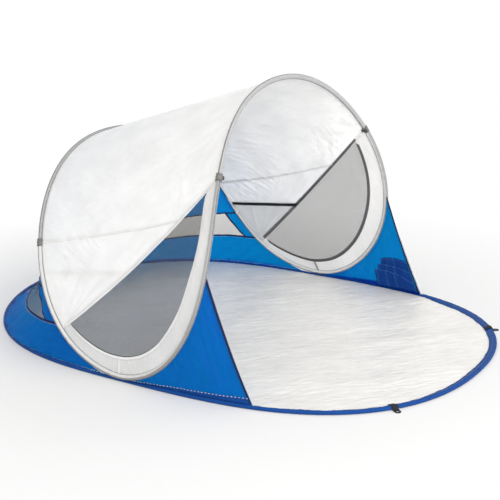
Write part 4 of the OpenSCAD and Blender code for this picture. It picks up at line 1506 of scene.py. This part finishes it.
# The tongue from its eye outwards and back over its top: the share of its reach, and the height.
TONGUE_PROFILE = [
    (0, 0.0006), (0.12, 0.0001), (0.9, 0.0001), (1, 0.0006), (1, 0.0016), (0.9, 0.0021),
    (0.35, 0.0023), (0.12, 0.0027), (0, 0.0022),
]
TONGUE_BACK = 0.012
TONGUE_SIDES = 48
STRAP_TOP = 22  # the row at which the stitches end


def build_peg_strap(name, flip, seed):
    """Webbing folded over the sleeve of the floor hoop and down its outer side."""
    at, out, along = loop_place(flip)
    fine = np.stack([np.interp(spaced(0, 9, 45), range(10), STRAP_PROFILE[:, i]) for i in (0, 1)], -1)
    middle = at + fine[:, :1] * out + fine[:, 1:] * np.array([0, 0, 1])
    grid = middle[:, None] + (spaced(-0.5, 0.5, 8) * LOOP_W)[:, None] * along
    piece = add_sheet(f"{name}_peg_loop.strap", grid, WEBBING, [f"{name}_peg_loop"], WEB_T)
    lift = WEB_T / 2 - CLOTH_T / 2
    runs = [line_at(grid[:STRAP_TOP], share, 1, lift) for share in (0.14, 0.86)]
    add_stitches(f"{name}_peg_loop.stitches", runs, WEB_STITCH, GREY_THREAD)


def build_peg_eye(name, flip, seed):
    """The tongue of webbing outside the hoop, with a round eye for a peg."""
    at, out, along = loop_place(flip)
    centre = at + EYE_REACH * out
    a = turns(TONGUE_SIDES)
    ahead, aside = np.cos(a), np.sin(a)
    to_side = LOOP_W / 2 / np.maximum(np.abs(aside), 1e-6)
    to_back = TONGUE_BACK / np.maximum(np.abs(ahead), 1e-6)
    reach = np.where(ahead > 0, LOOP_W / 2, np.minimum(to_side, to_back))
    rows = []
    for share, z in TONGUE_PROFILE:
        r = mix(EYE_R, reach, share)[:, None]
        rows.append(centre + r * (ahead[:, None] * out + aside[:, None] * along) + [0, 0, z])
    grid = np.stack(rows)
    index = np.arange(grid.shape[0] * TONGUE_SIDES).reshape(-1, TONGUE_SIDES)
    after, next_row = np.roll(index, -1, axis=1), np.roll(index, -1, axis=0)
    faces = np.stack([index, after, np.roll(next_row, -1, axis=1), next_row], -1).reshape(-1, 4).tolist()
    away = grid - centre
    place = points(away @ out, away @ along, 0).reshape(-1, 3)
    co = grid.reshape(-1, 3)
    add_piece(f"{name}_peg_loop.eye", co, facing_out(co, faces), WEBBING, (), place)


both_sides(build_peg_strap)
both_sides(build_peg_eye)

# ---------------------------------------------------------------- stage, light and camera

CAMERA_AT = Vector((-3.4183, -2.1866, 1.4456))
LOOKS_AT = Vector((0.184, 0.0516, 0.2331))
SENSOR_MM, LENS_MM = 36.0, 81.03
FADE_START, FADE_END = 1.05, 1.9
STAGE_GLOW = 0.10
LAMP_COLOUR = (1, 0.985, 0.96)
WORLD_STRENGTH = 1.04


def build_camera():
    data = bpy.data.cameras.new("camera")
    data.sensor_width, data.lens = SENSOR_MM, LENS_MM
    camera = bpy.data.objects.new("camera", data)
    bpy.context.scene.collection.objects.link(camera)
    camera.location = CAMERA_AT
    camera.rotation_mode = "QUATERNION"
    camera.rotation_quaternion = (LOOKS_AT - CAMERA_AT).to_track_quat("-Z", "Y")
    bpy.context.scene.camera = camera


def background_rays(tree):
    """1 for the rays that show the background, which are those of the camera, gloss and glass."""
    rays = tree.nodes.new("ShaderNodeLightPath")
    total = rays.outputs["Is Camera Ray"]
    for kind in ("Is Glossy Ray", "Is Transmission Ray"):
        either = tree.nodes.new("ShaderNodeMath")
        either.operation = "MAXIMUM"
        tree.links.new(total, either.inputs[0])
        tree.links.new(rays.outputs[kind], either.inputs[1])
        total = either.outputs[0]
    return total


def build_stage():
    """A white floor: it takes the shadow, and fades into the white background further out."""
    s = Shader("stage_floor")
    place = s.node("TexCoord").outputs["Object"]
    speckle = s.grain(place, 30.0)
    away = s.node("VectorMath", {0: place}, operation="LENGTH").outputs["Value"]
    seen = background_rays(s.tree)
    matt = s.node("BsdfDiffuse", {"Color": s.tint(speckle, (0.59, 0.59, 0.59), (0.61, 0.61, 0.61))})
    glow = s.node("Emission", {"Color": (1, 1, 1, 1), "Strength": s.maths("MULTIPLY", seen, STAGE_GLOW)})
    white = s.node("Emission", {"Color": (1, 1, 1, 1), "Strength": 1.0})
    near = s.node("AddShader", {0: matt.outputs[0], 1: glow.outputs[0]})
    far = s.maths("MULTIPLY", seen, s.ramp(away, FADE_START, FADE_END))
    s.shade(s.node("MixShader", {0: far, 1: near.outputs[0], 2: white.outputs[0]}).outputs[0])
    half, low = 30.0, -0.0005  # just below the object, which stands at 0
    corners = [(-half, -half, low), (half, -half, low), (half, half, low), (-half, half, low)]
    mesh = bpy.data.meshes.new("stage_floor")
    mesh.from_pydata(corners, [], [(0, 1, 2, 3)])
    mesh.materials.append(s.material)
    floor = bpy.data.objects.new("stage_floor", mesh)
    bpy.context.scene.collection.objects.link(floor)


def add_lamp(name, at, towards, size, watts):
    data = bpy.data.lights.new(name, "AREA")
    data.shape, data.size = "DISK", size
    data.energy, data.color = watts, LAMP_COLOUR
    lamp = bpy.data.objects.new(name, data)
    bpy.context.scene.collection.objects.link(lamp)
    lamp.location = at
    lamp.rotation_mode = "QUATERNION"
    lamp.rotation_quaternion = (Vector(towards) - Vector(at)).to_track_quat("-Z", "Y")


def build_light():
    world = bpy.data.worlds.new("world")
    bpy.context.scene.world = world
    world.use_nodes = True
    tree = world.node_tree
    tree.nodes.clear()
    out = tree.nodes.new("ShaderNodeOutputWorld")
    lit = tree.nodes.new("ShaderNodeBackground")
    seen = tree.nodes.new("ShaderNodeBackground")
    lit.inputs["Color"].default_value = (1, 1, 1, 1)
    lit.inputs["Strength"].default_value = WORLD_STRENGTH
    seen.inputs["Strength"].default_value = 1.0
    both = tree.nodes.new("ShaderNodeMixShader")
    tree.links.new(background_rays(tree), both.inputs[0])
    tree.links.new(lit.outputs[0], both.inputs[1])
    tree.links.new(seen.outputs[0], both.inputs[2])
    tree.links.new(both.outputs[0], out.inputs["Surface"])
    add_lamp("key", (-4.0, -3.6, 2.2), (0, 0, 0.35), 2.6, 150)
    add_lamp("fill", (-0.4, -5.0, 1.7), (0.2, 0.2, 0.4), 2.6, 115)
    add_lamp("back", (3.4, 2.6, 1.9), (0, 0, 0.2), 3.0, 40)


build_camera()
build_stage()
build_light()
bpy.context.scene.view_settings.view_transform = "Standard"
